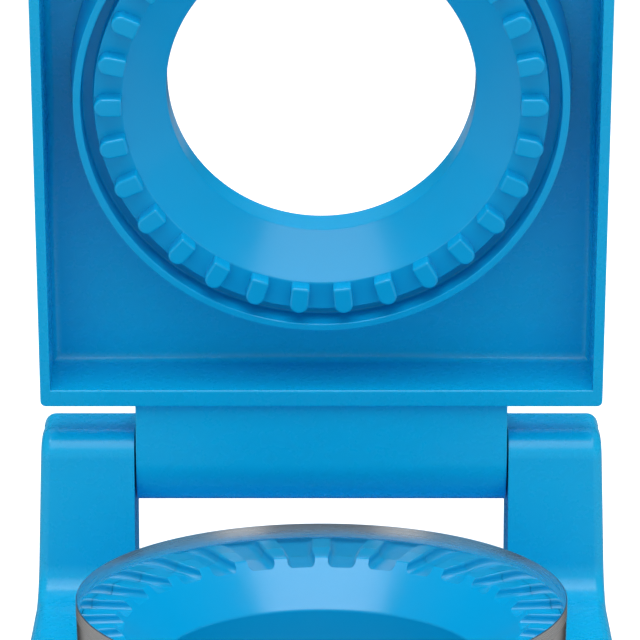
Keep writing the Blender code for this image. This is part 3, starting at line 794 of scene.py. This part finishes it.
foot_radius = 0.0055
foot_round = 0.0005
dimple_radius = 0.0026
dimple_depth = 0.0004
peg_barb = 0.0003
peg_neck = peg_radius - peg_barb
peg_tip = peg_radius - 2 * peg_barb
neck_length = 0.0034
barb_low = foot_seat + neck_length
foot_line = [(0.0, dimple_depth), (dimple_radius, dimple_depth),
             (dimple_radius + dimple_depth, 0.0)]
foot_line += arc(foot_radius - foot_round, foot_round, foot_round, -90, 0, 4)
foot_line += arc(foot_radius - wide_break, foot_seat - wide_break, wide_break, 0, 90, 4)
foot_line += [(peg_neck, foot_seat), (peg_neck, barb_low),
              (peg_radius, barb_low + fine_break), (peg_tip, foot_seat + peg_length),
              (0.0, foot_seat + peg_length)]
foot = turn_piece("foot", foot_line, 48)
smooth(foot, 40.0)
feet = {}
for corner, (x, y) in foot_places.items():
    feet["foot_" + corner] = place_copy(foot, "pad_" + corner, x, y)
bpy.data.objects.remove(foot, do_unlink=True)
print("feet:", sorted(feet))


# %% Screws
head_radius = 0.0027
head_height = 0.0013
thread_depth = 0.0003
thread_pitch = 0.0007
thread_end = 0.0009
screw_core = screw_radius - thread_depth
head_low = -gap - head_height
head_round = 0.0006
screw_line = [(0.0, screw_length), (screw_core - edge_break, screw_length - edge_break)]
height = screw_length - thread_end
while height > thread_end:
    screw_line += [(screw_radius, height), (screw_core, height - thread_pitch / 2)]
    height -= thread_pitch
screw_line += [(screw_core, -gap), (head_radius - fine_break, -gap),
               (head_radius, -gap - fine_break), (head_radius, head_low + head_round)]
screw_line += arc(head_radius - head_round, head_low + head_round, head_round, 0, -90, 4)[1:]
screw_line += [(0.0, head_low)]
screw = turn_piece("screw", screw_line, 32)
slot_half = 0.0004
slot_depth = 0.0008
slot = add_block("slot", (-head_radius, -slot_half, head_low - overrun),
                 (head_radius, slot_half, head_low + slot_depth))
combine(screw, slot, "DIFFERENCE")
smooth(screw, 35.0)
lid_screw = swing(copy_of(screw), math.pi, "X", origin)
base_screws = {}
ear_x, ear_y = polar(ear_radius, 60).x, polar(ear_radius, 60).y - ring_y
for corner, (x, y) in four_corners(ear_x, ring_y - ear_y, ring_y + ear_y).items():
    base_screws["base_screw_" + corner] = place_copy(screw, "lower_bolt_" + corner, x, y,
                                                     ring_flange_low)
print("base screws:", len(base_screws))

# %% Pins, caps and bushes
tongue_play = 0.00035
tongue_half = arm_inner - tongue_play
barrel_radius = 0.0109
barrel_wall = 0.0034
barrel_hollow = barrel_radius - barrel_wall
pin_reach = 0.0140
pin_start = arm_inner - pin_reach
pin_end = hinge_side - cap_thickness - gap
cap_recess = 0.0005
cap_inner = hinge_side - cap_thickness
cap_outer = hinge_side - cap_recess
bush_length = 0.0120
bush_outer = tongue_half
bush_inner = bush_outer - bush_length
bush_flange = 0.0010
barrel_lip = 0.0021
bush_flange_radius = barrel_radius - barrel_lip
bush_bore = pin_radius + gap
bush_sleeve = barrel_hollow - gap
cap_round = 0.0005
cap_crown = 0.00025
hinge_pieces = {}
for side, sign in (("left", -1), ("right", 1)):
    pin = turn_piece("pivot_" + side, [
        (0.0, pin_start), (pin_radius - wide_break, pin_start),
        (pin_radius, pin_start + wide_break), (pin_radius, pin_end - wide_break),
        (pin_radius - wide_break, pin_end), (0.0, pin_end)], 48)
    cap_line = [(0.0, cap_inner), (cap_radius, cap_inner)]
    cap_line += arc(cap_radius - cap_round, cap_outer - cap_round, cap_round, 0, 75, 4)
    cap_line += [(cap_radius / 2, cap_outer + cap_crown * 0.4), (0.0, cap_outer + cap_crown)]
    cap = turn_piece("plug_" + side, cap_line, 48)
    bush = turn_piece("bearing_" + side, [
        (bush_bore + edge_break, bush_outer), (bush_bore, bush_outer - edge_break),
        (bush_bore, bush_inner + edge_break), (bush_bore + edge_break, bush_inner),
        (bush_sleeve - wide_break, bush_inner), (bush_sleeve, bush_inner + wide_break),
        (bush_sleeve, bush_outer - bush_flange),
        (bush_flange_radius - fine_break, bush_outer - bush_flange),
        (bush_flange_radius, bush_outer - bush_flange + fine_break),
        (bush_flange_radius, bush_outer - fine_break),
        (bush_flange_radius - fine_break, bush_outer)], 48)
    for node, made in (("hinge_pin_", pin), ("hinge_cap_", cap), ("hinge_bush_", bush)):
        smooth(to_hinge_line(made, sign), 35.0)
        hinge_pieces[node + side] = made
print("hinge pieces:", sorted(hinge_pieces))

# %% [markdown]
# ## The lid
# The lid is a square tray: a deep plate with a wall all round, open on the side that faces
# the base. Modelled shut, its open side is the underside, so that face is inset by the wall and
# pushed up. The corner at the plate is rounded, as plastic flows there. Behind it, a tongue
# as long as the gap between the arms holds the pins.

# %% Lid tray
lid_inset = 0.0016
lid_half = base_half - lid_inset
lid_front = base_low.y + lid_inset
blade_to_back = 0.02055
tray_depth = 0.0156
plate = 0.0024
lid_back = ring_y + blade_radius + blade_to_back
plate_low = face_z + tray_depth
lid_top = plate_low + plate
side_wall = 0.0022
back_wall = 0.0038
lid_edge_round = 0.0022
lid_back_round = 0.0012
lid = add_block("lid_shell", (-lid_half, lid_front, face_z), (lid_half, lid_back, lid_top))
round_corners(lid, lid_half, lid_front, front_round, front_steps)
round_edges(lid, level(lid_top), lid_edge_round, 6)
pick(lid, "FACE", lambda face: face.normal.z < -0.9)
bpy.ops.mesh.inset(thickness=side_wall, depth=0.0)
pull((0.0, 0.0, tray_depth))
pick(lid, "VERT", lambda point: near(point.co.y, lid_back - side_wall)
     and point.co.z < plate_low + touch)
slide(y=side_wall - back_wall)
leave_edit()
inner_round = 0.0020
print("floor edges", round_edges(lid, level(plate_low), inner_round, 6))
round_corners(lid, lid_half, lid_back, lid_back_round, 4)


def wall_rim(edge):
    """The edges of the wall's rim."""
    slopes = [face.normal.z for face in edge.link_faces]
    return all_at(edge, Z, face_z) and min(slopes) < -0.9 and max(slopes) > -0.5


print("rim edges", round_edges(lid, wall_rim, edge_break, 3), "open", open_edges(lid))

# %% Tongue and barrel
root_lift = 0.0015
root_drop = 0.0005
root_low = (lid_back, face_z + root_lift)
root_high = (lid_back, lid_top - root_drop)


def tangent(point, sense):
    """Where a line from a point touches the barrel, in degrees."""
    reach = Vector(point) - Vector((hinge_point.y, hinge_point.z))
    opening = math.acos(barrel_radius / reach.length)
    return math.degrees(math.atan2(reach.y, reach.x) + sense * opening)


start_turn = tangent(root_low, 1) - 360
end_turn = tangent(root_high, -1)
while start_turn > end_turn:
    start_turn -= 360
while end_turn - start_turn > 360:
    start_turn += 360
around = arc(hinge_point.y, hinge_point.z, barrel_radius, start_turn, end_turn, 40)
inside = lid_back - back_wall / 2
tongue_line = [(inside, root_low[1]), root_low, *around, root_high, (inside, root_high[1])]
tongue = extrude_outline("tongue", [(-tongue_half, u, v) for u, v in tongue_line],
                         (2 * tongue_half, 0.0, 0.0))
tongue_round = 0.0010
round_edges(tongue, lambda edge: at_sides(edge, tongue_half) and min(
    point.co.y for point in edge.verts) > lid_back - touch, tongue_round, 4)
print("tongue open", open_edges(tongue))
combine(lid, tongue, "UNION")
print("lid with tongue", len(lid.data.polygons), "open", open_edges(lid))
drill(lid, (-tongue_half - overrun, hinge_point.y, hinge_point.z),
      2 * (tongue_half + overrun), barrel_hollow, X)
seat = tongue_half - bush_flange - gap
for start_x in (-tongue_half - overrun, seat):
    drill(lid, (start_x, hinge_point.y, hinge_point.z), tongue_half + overrun - seat,
          bush_flange_radius + gap, X)
print("tongue:", len(lid.data.polygons))

# %% Grip and holes
grip_half = 0.0230
grip_reach = 0.0090
grip_corner = 0.0080
grip_round = 0.0014
grip_top = lid_top - lid_edge_round
grip_thickness = 0.0040
grip_low = grip_top - grip_thickness
grip = add_block("grip", (-grip_half, lid_front - grip_reach, grip_low),
                 (grip_half, lid_front + side_wall / 2, grip_top))
round_corners(grip, grip_half, lid_front - grip_reach, grip_corner, 12)
round_edges(grip, lambda edge: (all_at(edge, Z, grip_low) or all_at(edge, Z, grip_top))
            and not all_at(edge, Y, lid_front + side_wall / 2), grip_round, 5)
combine(lid, grip, "UNION")
blade_room = 0.0008
band_width = 0.0060
lid_cone_width = 0.0089
groove_inner = blade_inner - blade_room
band_inner = groove_inner - band_width
lid_hole = band_inner - lid_cone_width
spigot_radius = lid_hole + ring_wall
drill(lid, (0.0, ring_y, plate_low - overrun), plate + 2 * overrun, spigot_radius + gap,
      sides=144)
screw_bed = 0.0008
screw_room = 0.0020
screw_seat = plate_low + screw_bed
lid_screw_radius = spigot_radius + screw_radius + gap + boss_wall + screw_room
across = lid_screw_radius * math.cos(math.pi / 4)
lid_screw_places = four_corners(across, ring_y - across, ring_y + across)
for x, y in lid_screw_places.values():
    drill(lid, (x, y, plate_low - overrun), plate + 2 * overrun, screw_radius + gap, sides=32)
    drill(lid, (x, y, screw_seat), plate - screw_bed + overrun, head_radius + gap, sides=48)
smooth(clean(lid))
print("lid finished:", len(lid.data.polygons), "faces")

# %% [markdown]
# ## The upper crimp ring
# This ring does the sealing. From outside in it has a rim, a deep groove that the blade enters,
# a band of raised teeth and a cone that ends in a lip at the hole. One tooth is made from a
# block: its outer end is beveled into a half circle, its inner end stays square, and its crest
# gets a fine round. Copies go round the band and are united with the turned ring.

# %% Upper ring, turned
groove_room = 0.0010
rim_width = 0.0016
groove_depth = 0.0055
band_depth = 0.0022
lip_depth = 0.0100
groove_outer = blade_radius + groove_room
rim_outer = groove_outer + rim_width
groove_floor = face_z + groove_depth
band_floor = face_z + band_depth
lip_z = face_z + lip_depth
skirt_reach = 0.0012
spigot_step = 0.0020
ring_seat = plate_low - gap
cone_rise = math.degrees(math.atan2(lip_z - band_floor, band_inner - lid_hole))
upper_line = arc(rim_outer - edge_break, face_z + edge_break, edge_break, -90, 0, 4)
upper_line += [(rim_outer + skirt_reach, ring_seat), (groove_outer + skirt_reach, ring_seat),
               (groove_outer + edge_break, groove_floor + ring_wall),
               (groove_inner - ring_wall / 2, groove_floor + ring_wall),
               (band_inner + ring_wall, band_floor + ring_wall * 2),
               (spigot_radius + spigot_step, lip_z + ring_wall),
               (spigot_radius + spigot_step, ring_seat),
               (spigot_radius, ring_seat), (spigot_radius, lid_top - gap - edge_break),
               (spigot_radius - edge_break, lid_top - gap),
               (lid_hole + wide_break, lid_top - gap), (lid_hole, lid_top - gap - wide_break)]
rounding = 0.0006
upper_line += arc(lid_hole + rounding, lip_z + rounding * math.tan(
    math.radians(90 - cone_rise) / 2), rounding, 180, 270 - cone_rise, 5)
upper_line += arc(band_inner + rounding * math.tan(math.radians(cone_rise / 2)),
                  band_floor + rounding, rounding, 270 - cone_rise, 270, 4)
upper_line += arc(groove_inner - edge_break, band_floor + edge_break, edge_break, -90, 0, 4)
upper_line += arc(groove_inner + wide_break, groove_floor - wide_break, wide_break, 180, 90, 3)
upper_line += arc(groove_outer - wide_break, groove_floor - wide_break, wide_break, 90, 0, 3)
upper_line += arc(groove_outer + edge_break, face_z + edge_break, edge_break, 180, 270, 3)
upper_ring = turn_piece("upper_ring", upper_line, 180, ring_axis)
print("upper ring faces:", len(upper_ring.data.polygons))

# %% Teeth
tooth_half = 0.0020
tooth_inset = 0.0002
tooth_outer = groove_inner - tooth_inset
tooth_corner = 0.0006
crest_round = 0.0011
tooth_stand = 0.0013
crest_z = face_z - tooth_stand
almost_half = 0.99


def tooth_corners(end):
    """A test for the upright corners at one end of the tooth."""
    return lambda edge: all_at(edge, X, end) and (
        all_at(edge, Y, ring_y + tooth_half) or all_at(edge, Y, ring_y - tooth_half))


tooth = add_block("tooth", (band_inner, ring_y - tooth_half, crest_z),
                  (tooth_outer, ring_y + tooth_half, band_floor + sink))
round_edges(tooth, tooth_corners(tooth_outer), tooth_half * almost_half, 10)
pick(tooth, "VERT")
bpy.ops.mesh.remove_doubles(threshold=touch * 6)
leave_edit()
round_edges(tooth, tooth_corners(band_inner), tooth_corner, 4)
round_edges(tooth, level(crest_z), crest_round, 6)
teeth = join(copies_round(tooth, tooth_count, ring_centre))
combine(upper_ring, teeth, "UNION")
boss_low = groove_floor + ring_wall - sink
pilot_low = screw_seat - screw_length - gap
for x, y in lid_screw_places.values():
    build_up(upper_ring, (x, y, boss_low), ring_seat - boss_low,
             screw_radius + gap + boss_wall)
for x, y in lid_screw_places.values():
    drill(upper_ring, (x, y, pilot_low), ring_seat + overrun - pilot_low,
          screw_radius + gap, sides=32)
smooth(clean(upper_ring), 35.0)
lid_screws = {}
for corner, (x, y) in lid_screw_places.items():
    lid_screws["lid_screw_" + corner] = place_copy(lid_screw, "upper_bolt_" + corner, x, y,
                                                   screw_seat)
for spare in (screw, lid_screw):
    bpy.data.objects.remove(spare, do_unlink=True)
print("upper ring finished:", len(upper_ring.data.polygons), "faces")

# %% [markdown]
# ## Swinging the lid open
# All the lid's pieces turn together about the hinge line, and the turn is applied to their
# meshes, so each object still sits at the origin. Without a window, the rotate operator turns
# the other way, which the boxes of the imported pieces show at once.

# %% Open the lid
lid_pieces = {"lid_frame": lid, "upper_crimp_ring": upper_ring, **lid_screws}
for node in ("hinge_bush_left", "hinge_bush_right"):
    lid_pieces[node] = hinge_pieces.pop(node)
for piece in lid_pieces.values():
    swing(piece, open_angle, "X", hinge_point)
clear_selection()


def mesh_box(piece):
    """The lowest and highest corner of a piece."""
    places = [point.co for point in piece.data.vertices]
    low = Vector([min(place[axis] for place in places) for axis in range(3)])
    high = Vector([max(place[axis] for place in places) for axis in range(3)])
    return low, high


base_nodes = {"base_frame": base, "cutter_ring": steel_ring, "lower_crimp_ring": lower_ring,
              **feet, **base_screws, **hinge_pieces}
worst, allowed = 0.0, 0.0003
for node, piece in {**lid_pieces, **base_nodes}.items():
    for made, packed in zip(mesh_box(piece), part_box(node)):
        off = max(abs(a - b) for a, b in zip(made, packed))
        if off > allowed:
            print("check", node, [round(v, 5) for v in made], [round(v, 5) for v in packed])
        worst = max(worst, off)
print("largest difference to a packed piece's box:", round(worst * 1000, 3), "mm")

# %% [markdown]
# ## Finishes
# The plastic is a blue that is coloured through, moulded in a polished tool: its gloss is
# broken by a very fine unevenness, and the colour drifts a little where the melt met. Each
# finish is made of nodes on Object coordinates, so it stays with its piece.


# %% Node helpers
def set_inputs(tree, node, inputs):
    """Set each input of a node to a value, or link it to a source."""
    for name, value in inputs.items():
        if isinstance(value, bpy.types.NodeSocket):
            tree.links.new(value, node.inputs[name])
        else:
            node.inputs[name].default_value = value


def add_node(tree, kind, inputs, **settings):
    """A node of a kind, with its settings and inputs."""
    node = tree.nodes.new(kind)
    for name, value in settings.items():
        setattr(node, name, value)
    set_inputs(tree, node, inputs)
    return node


def new_finish(name, colour, roughness, metallic=0.0):
    """A material with its shader and one coordinate source."""
    material = bpy.data.materials.new(name)
    material.use_nodes = True
    tree = material.node_tree
    shader = tree.nodes["Principled BSDF"]
    set_inputs(tree, shader, {"Base Color": (*colour, 1.0), "Roughness": roughness,
                              "Metallic": metallic})
    place = add_node(tree, "ShaderNodeTexCoord", {})
    return material, tree, shader, place.outputs["Object"]


def add_noise(tree, source, scale, detail=3.0, roughness=0.5, stretch=(1.0, 1.0, 1.0)):
    """A noise pattern, stretched where it is asked for."""
    mapping = add_node(tree, "ShaderNodeMapping", {"Vector": source, "Scale": stretch})
    noise = add_node(tree, "ShaderNodeTexNoise", {
        "Vector": mapping.outputs["Vector"], "Scale": scale, "Detail": detail,
        "Roughness": roughness})
    return noise.outputs["Fac"]


def spread(tree, source, low=0.0, high=1.0, from_low=0.3, from_high=0.7):
    """Map a pattern to a range of values."""
    return add_node(tree, "ShaderNodeMapRange", {
        "Value": source, "From Min": from_low, "From Max": from_high, "To Min": low,
        "To Max": high}).outputs["Result"]


def blend_colours(tree, pattern, first, second):
    """A mix of two colours by a pattern."""
    return add_node(tree, "ShaderNodeMix", {
        "Factor": spread(tree, pattern), "A": (*first, 1.0), "B": (*second, 1.0)},
        data_type="RGBA").outputs["Result"]


def add_up(tree, first, second):
    """The sum of two patterns."""
    return add_node(tree, "ShaderNodeMath", {0: first, 1: second},
                    operation="ADD").outputs["Value"]


def read_axis(tree, place, axis):
    """One coordinate of a place."""
    return add_node(tree, "ShaderNodeSeparateXYZ", {"Vector": place}).outputs[axis]


def bump(tree, source, distance, strength, below=None):
    """Relief that follows a pattern, on top of another relief where one is given."""
    inputs = {"Height": source, "Distance": distance, "Strength": strength}
    if below is not None:
        inputs["Normal"] = below
    return add_node(tree, "ShaderNodeBump", inputs).outputs["Normal"]


print("finish tools ready")


# %% Blue plastic
def make_plastic(name, colour, deeper, gloss, density):
    """Coloured-through moulded plastic with a fine unevenness and faint scuffs."""
    material, tree, shader, place = new_finish(name, colour, gloss)
    drift = add_noise(tree, place, scale=28.0, detail=2.0)
    scuffs = add_noise(tree, place, scale=260.0, detail=4.0, roughness=0.6)
    swell = add_noise(tree, place, scale=45.0, detail=1.0)
    grain = add_noise(tree, place, scale=2200.0, detail=2.0)
    lower = bump(tree, swell, distance=0.00002, strength=0.2)
    set_inputs(tree, shader, {
        "Base Color": blend_colours(tree, drift, colour, deeper),
        "Roughness": spread(tree, scuffs, gloss - 0.02, gloss + 0.03),
        "Normal": bump(tree, grain, distance=0.000002, strength=0.15, below=lower),
        "IOR": density})
    return material


shell_blue = make_plastic("shell_blue", (0.0, 0.450, 0.810), (0.0, 0.435, 0.795), 0.27, 1.46)
ring_blue = make_plastic("ring_blue", (0.0, 0.395, 0.760), (0.0, 0.380, 0.745), 0.22, 1.52)
print("plastics:", shell_blue.name, ring_blue.name)

# %% [markdown]
# The steel ring is polished round its axis, so its finest scratches run round it. A noise
# that is pressed flat in height gives them. The ground band near the rim comes from a wheel
# and stays duller than the wall, so the roughness grows above a height. A slower pattern
# stands for the slight waviness of a rolled strip.

# %% Steels, rubber and bush plastic
def make_round_steel(name, colour, gloss):
    """Polished sheet steel with scratches that run round the ring."""
    material, tree, shader, place = new_finish(name, colour, gloss, 1.0)
    centred = add_node(tree, "ShaderNodeMapping", {
        "Vector": place, "Location": (0.0, -ring_y, 0.0)}).outputs["Vector"]
    scratches = add_noise(tree, centred, scale=60.0, stretch=(1.0, 1.0, 60.0))
    wave = add_noise(tree, centred, scale=45.0, detail=2.0)
    polish = spread(tree, scratches, gloss - 0.02, gloss + 0.03)
    band_low = rim_z - ground_height
    band_start = 0.0006
    ground = spread(tree, read_axis(tree, place, "Z"), 0.0, 0.16, from_low=band_low,
                    from_high=band_low + band_start)
    lower = bump(tree, wave, distance=0.00006, strength=0.4)
    set_inputs(tree, shader, {
        "Base Color": blend_colours(tree, wave, colour, [value * 0.93 for value in colour]),
        "Roughness": add_up(tree, polish, ground),
        "Normal": bump(tree, scratches, distance=0.000002, strength=0.3, below=lower)})
    return material


def make_fitting_finish(name, colour, darker, gloss, less, more, grain, relief, metallic=0.0):
    """A finish whose tone, gloss and relief all follow one fine pattern.

    The gloss runs from less to more than its value. The grain is a scale, a detail and a
    roughness, and the relief a distance and a strength.
    """
    material, tree, shader, place = new_finish(name, colour, gloss, metallic)
    fine = add_noise(tree, place, *grain)
    set_inputs(tree, shader, {
        "Base Color": blend_colours(tree, fine, colour, darker),
        "Roughness": spread(tree, fine, gloss - less, gloss + more),
        "Normal": bump(tree, fine, *relief)})
    return material


blade_steel = make_round_steel("blade_steel", (0.95, 0.95, 0.95), 0.12)
zinc = (0.60, 0.59, 0.58)
small_steel = make_fitting_finish(
    "small_steel", zinc, [value * 0.85 for value in zinc], 0.30, 0.08, 0.12, (900.0, 4.0),
    (0.00002, 0.4), metallic=1.0)
foot_rubber = make_fitting_finish(
    "foot_rubber", (0.030, 0.030, 0.033), (0.018, 0.018, 0.020), 0.80, 0.05, 0.05,
    (1400.0, 5.0, 0.6), (0.00004, 0.6))
bush_white = make_fitting_finish(
    "bush_white", (0.78, 0.78, 0.75), (0.70, 0.70, 0.67), 0.42, 0.05, 0.05, (700.0, 5.0, 0.6),
    (0.00001, 0.6))
print("finishes:", len(bpy.data.materials))

# %% [markdown]
# ## Fitting to the model
# Every new piece takes the place of one imported piece, which is hidden, and hangs from an
# empty for its body, the base or the lid. Each gets the finish of the material slot it stands for.

# %% Ride, replace and finish
finishes = {"blue_plastic": shell_blue, "ring_plastic": ring_blue, "blade_steel": blade_steel,
            "fastener_steel": small_steel, "foot_rubber": foot_rubber,
            "bush_acetal": bush_white}
slots = {item["node"]: item["material_slot"] for item in frame["record"]["subparts"]}
for body, pieces in (("base", base_nodes), ("lid", lid_pieces)):
    for node, piece in pieces.items():
        piece.data.materials.clear()
        piece.data.materials.append(finishes[slots[node]])
        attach(piece, body)
        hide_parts(node)
print("pieces on the base:", len(base_nodes), "on the lid:", len(lid_pieces))

# %% [markdown]
# ## Floor, light and camera
# This is a product shot on white: soft light from above and in front, with no hard
# shadow. The floor is pale and wide, two wide lamps hang over the press, low ones fill from
# the front and from each side, one behind lights the tops of the arms under the open lid, and
# the world adds an even pale light. The floor also carries a painted reflection: it glows only
# to reflected rays, dim in the middle and brighter at the sides, and this paints highlights on
# the arms' outer edges and on the steel.

# %% Floor
floor_albedo = 0.60
floor_glow = 0.62
clear_selection()
bpy.ops.mesh.primitive_plane_add(size=12.0, location=(0.0, 3.0, 0.0))
floor = bpy.context.active_object
floor.name = "floor"
floor_material, floor_tree, floor_shader, floor_place = new_finish(
    "floor_white", (floor_albedo, floor_albedo, floor_albedo), 0.7)
floor.data.materials.append(floor_material)
floor_shader.inputs["Specular IOR Level"].default_value = 0.0


def shade(tree, kind, strength):
    """An even white glow, whose strength is a value or a pattern."""
    return add_node(tree, kind, {"Color": (1.0, 1.0, 1.0, 1.0),
                                 "Strength": strength}).outputs[0]


def choose(tree, ray, otherwise, when_ray):
    """Show one shader to a kind of ray and another shader to all other rays."""
    path = add_node(tree, "ShaderNodeLightPath", {})
    return add_node(tree, "ShaderNodeMixShader", {
        0: path.outputs[ray], 1: otherwise, 2: when_ray}).outputs["Shader"]


lit = floor_shader.outputs["BSDF"]
lifted = add_node(floor_tree, "ShaderNodeAddShader", {
    0: lit, 1: shade(floor_tree, "ShaderNodeEmission", floor_glow)}).outputs["Shader"]
aside = add_node(floor_tree, "ShaderNodeMath", {0: read_axis(floor_tree, floor_place, "X")},
                 operation="ABSOLUTE").outputs["Value"]
# Painted reflection: a glow that only reflected rays see, brighter to each side of the press, paints highlights on
# the arms' outer edges and the steel.
painted_side_glint = spread(floor_tree, aside, 0.03, 0.22, 0.085, 0.105)
painted_far_glint = spread(floor_tree, aside, 0.00, 0.10, 0.06, 0.16)
painted_reflection_glow = shade(floor_tree, "ShaderNodeEmission", add_up(floor_tree, painted_side_glint, painted_far_glint))
seen = choose(floor_tree, "Is Camera Ray", lit, lifted)
# Reflected rays see the painted reflection glow in place of the lit floor.
seen = choose(floor_tree, "Is Glossy Ray", seen, painted_reflection_glow)
set_inputs(floor_tree, floor_tree.nodes["Material Output"], {"Surface": seen})
print("floor ready")


# %% Lamps and world
def add_lamp(name, place, aim, size, power, wide=1.0, colour=(1.0, 1.0, 1.0)):
    """A soft lamp that points at a place, square or some times as wide as high."""
    clear_selection()
    bpy.ops.object.light_add(type="AREA", location=place)
    lamp = bpy.context.active_object
    lamp.name = name
    lamp.data.shape = "RECTANGLE"
    lamp.data.size = size * wide
    lamp.data.size_y = size
    lamp.data.energy = power
    lamp.data.color = colour
    lamp.rotation_euler = (Vector(aim) - Vector(place)).to_track_quat("-Z", "Y").to_euler()
    return lamp


# Each lamp has a place, an aim, a height in metres, a power in watts and a width in heights.
press = (0.0, 0.0, 0.05)
pale_blue = (0.62, 0.82, 1.0)
card_blue = (0.22, 0.62, 1.0)
add_lamp("lamp_over", (0.0, -0.36, 0.87), (0.0, 0.02, 0.05), 0.85, 4.2)
add_lamp("lamp_high", (0.0, -0.20, 0.95), (0.0, 0.05, 0.05), 0.25, 1.4, 3.6)
back = add_lamp("lamp_back", (0.0, 0.52, 0.52), (0.0, 0.06, 0.05), 0.50, 3.0)
back.visible_glossy = False
add_lamp("lamp_front", (0.0, -1.30, 0.12), press, 0.50, 0.38, 2.0, pale_blue)
for side, sign in (("left", -1), ("right", 1)):
    add_lamp("lamp_" + side, (sign * 0.60, -0.75, 0.16), press, 0.42, 0.30)
    add_lamp("card_" + side, (sign * 1.10, -0.30, 0.16), press, 0.50, 0.50, 1.8, card_blue)
daylight = 0.56
mirror_light = 0.02
world = bpy.data.worlds.new("pale_room")
bpy.context.scene.world = world
world.use_nodes = True
world_tree = world.node_tree
even = world_tree.nodes["Background"]
set_inputs(world_tree, even, {"Color": (1.0, 1.0, 1.0, 1.0), "Strength": daylight})
room = choose(world_tree, "Is Glossy Ray", even.outputs["Background"],
              shade(world_tree, "ShaderNodeBackground", mirror_light))
room = choose(world_tree, "Is Camera Ray", room, shade(world_tree, "ShaderNodeBackground", 1.0))
set_inputs(world_tree, world_tree.nodes["World Output"], {"Surface": room})
print("lamps:", [item.name for item in bpy.data.lights])

# %% Camera
camera_place = (-0.0003, -0.8739, 0.31685)
camera_down = 14.53
clear_selection()
bpy.ops.object.camera_add(location=camera_place,
                          rotation=(math.radians(90 - camera_down), 0.0, 0.0))
camera = bpy.context.active_object
camera.name = "photo_camera"
camera.data.sensor_width = 36.0
camera.data.lens = 253.9
bpy.context.scene.camera = camera
bpy.context.scene.view_settings.view_transform = "Standard"
print("camera lens", camera.data.lens)

# %% [markdown]
# The visual pieces must fill the same box as the imported model.

# %% Finish
clear_selection()
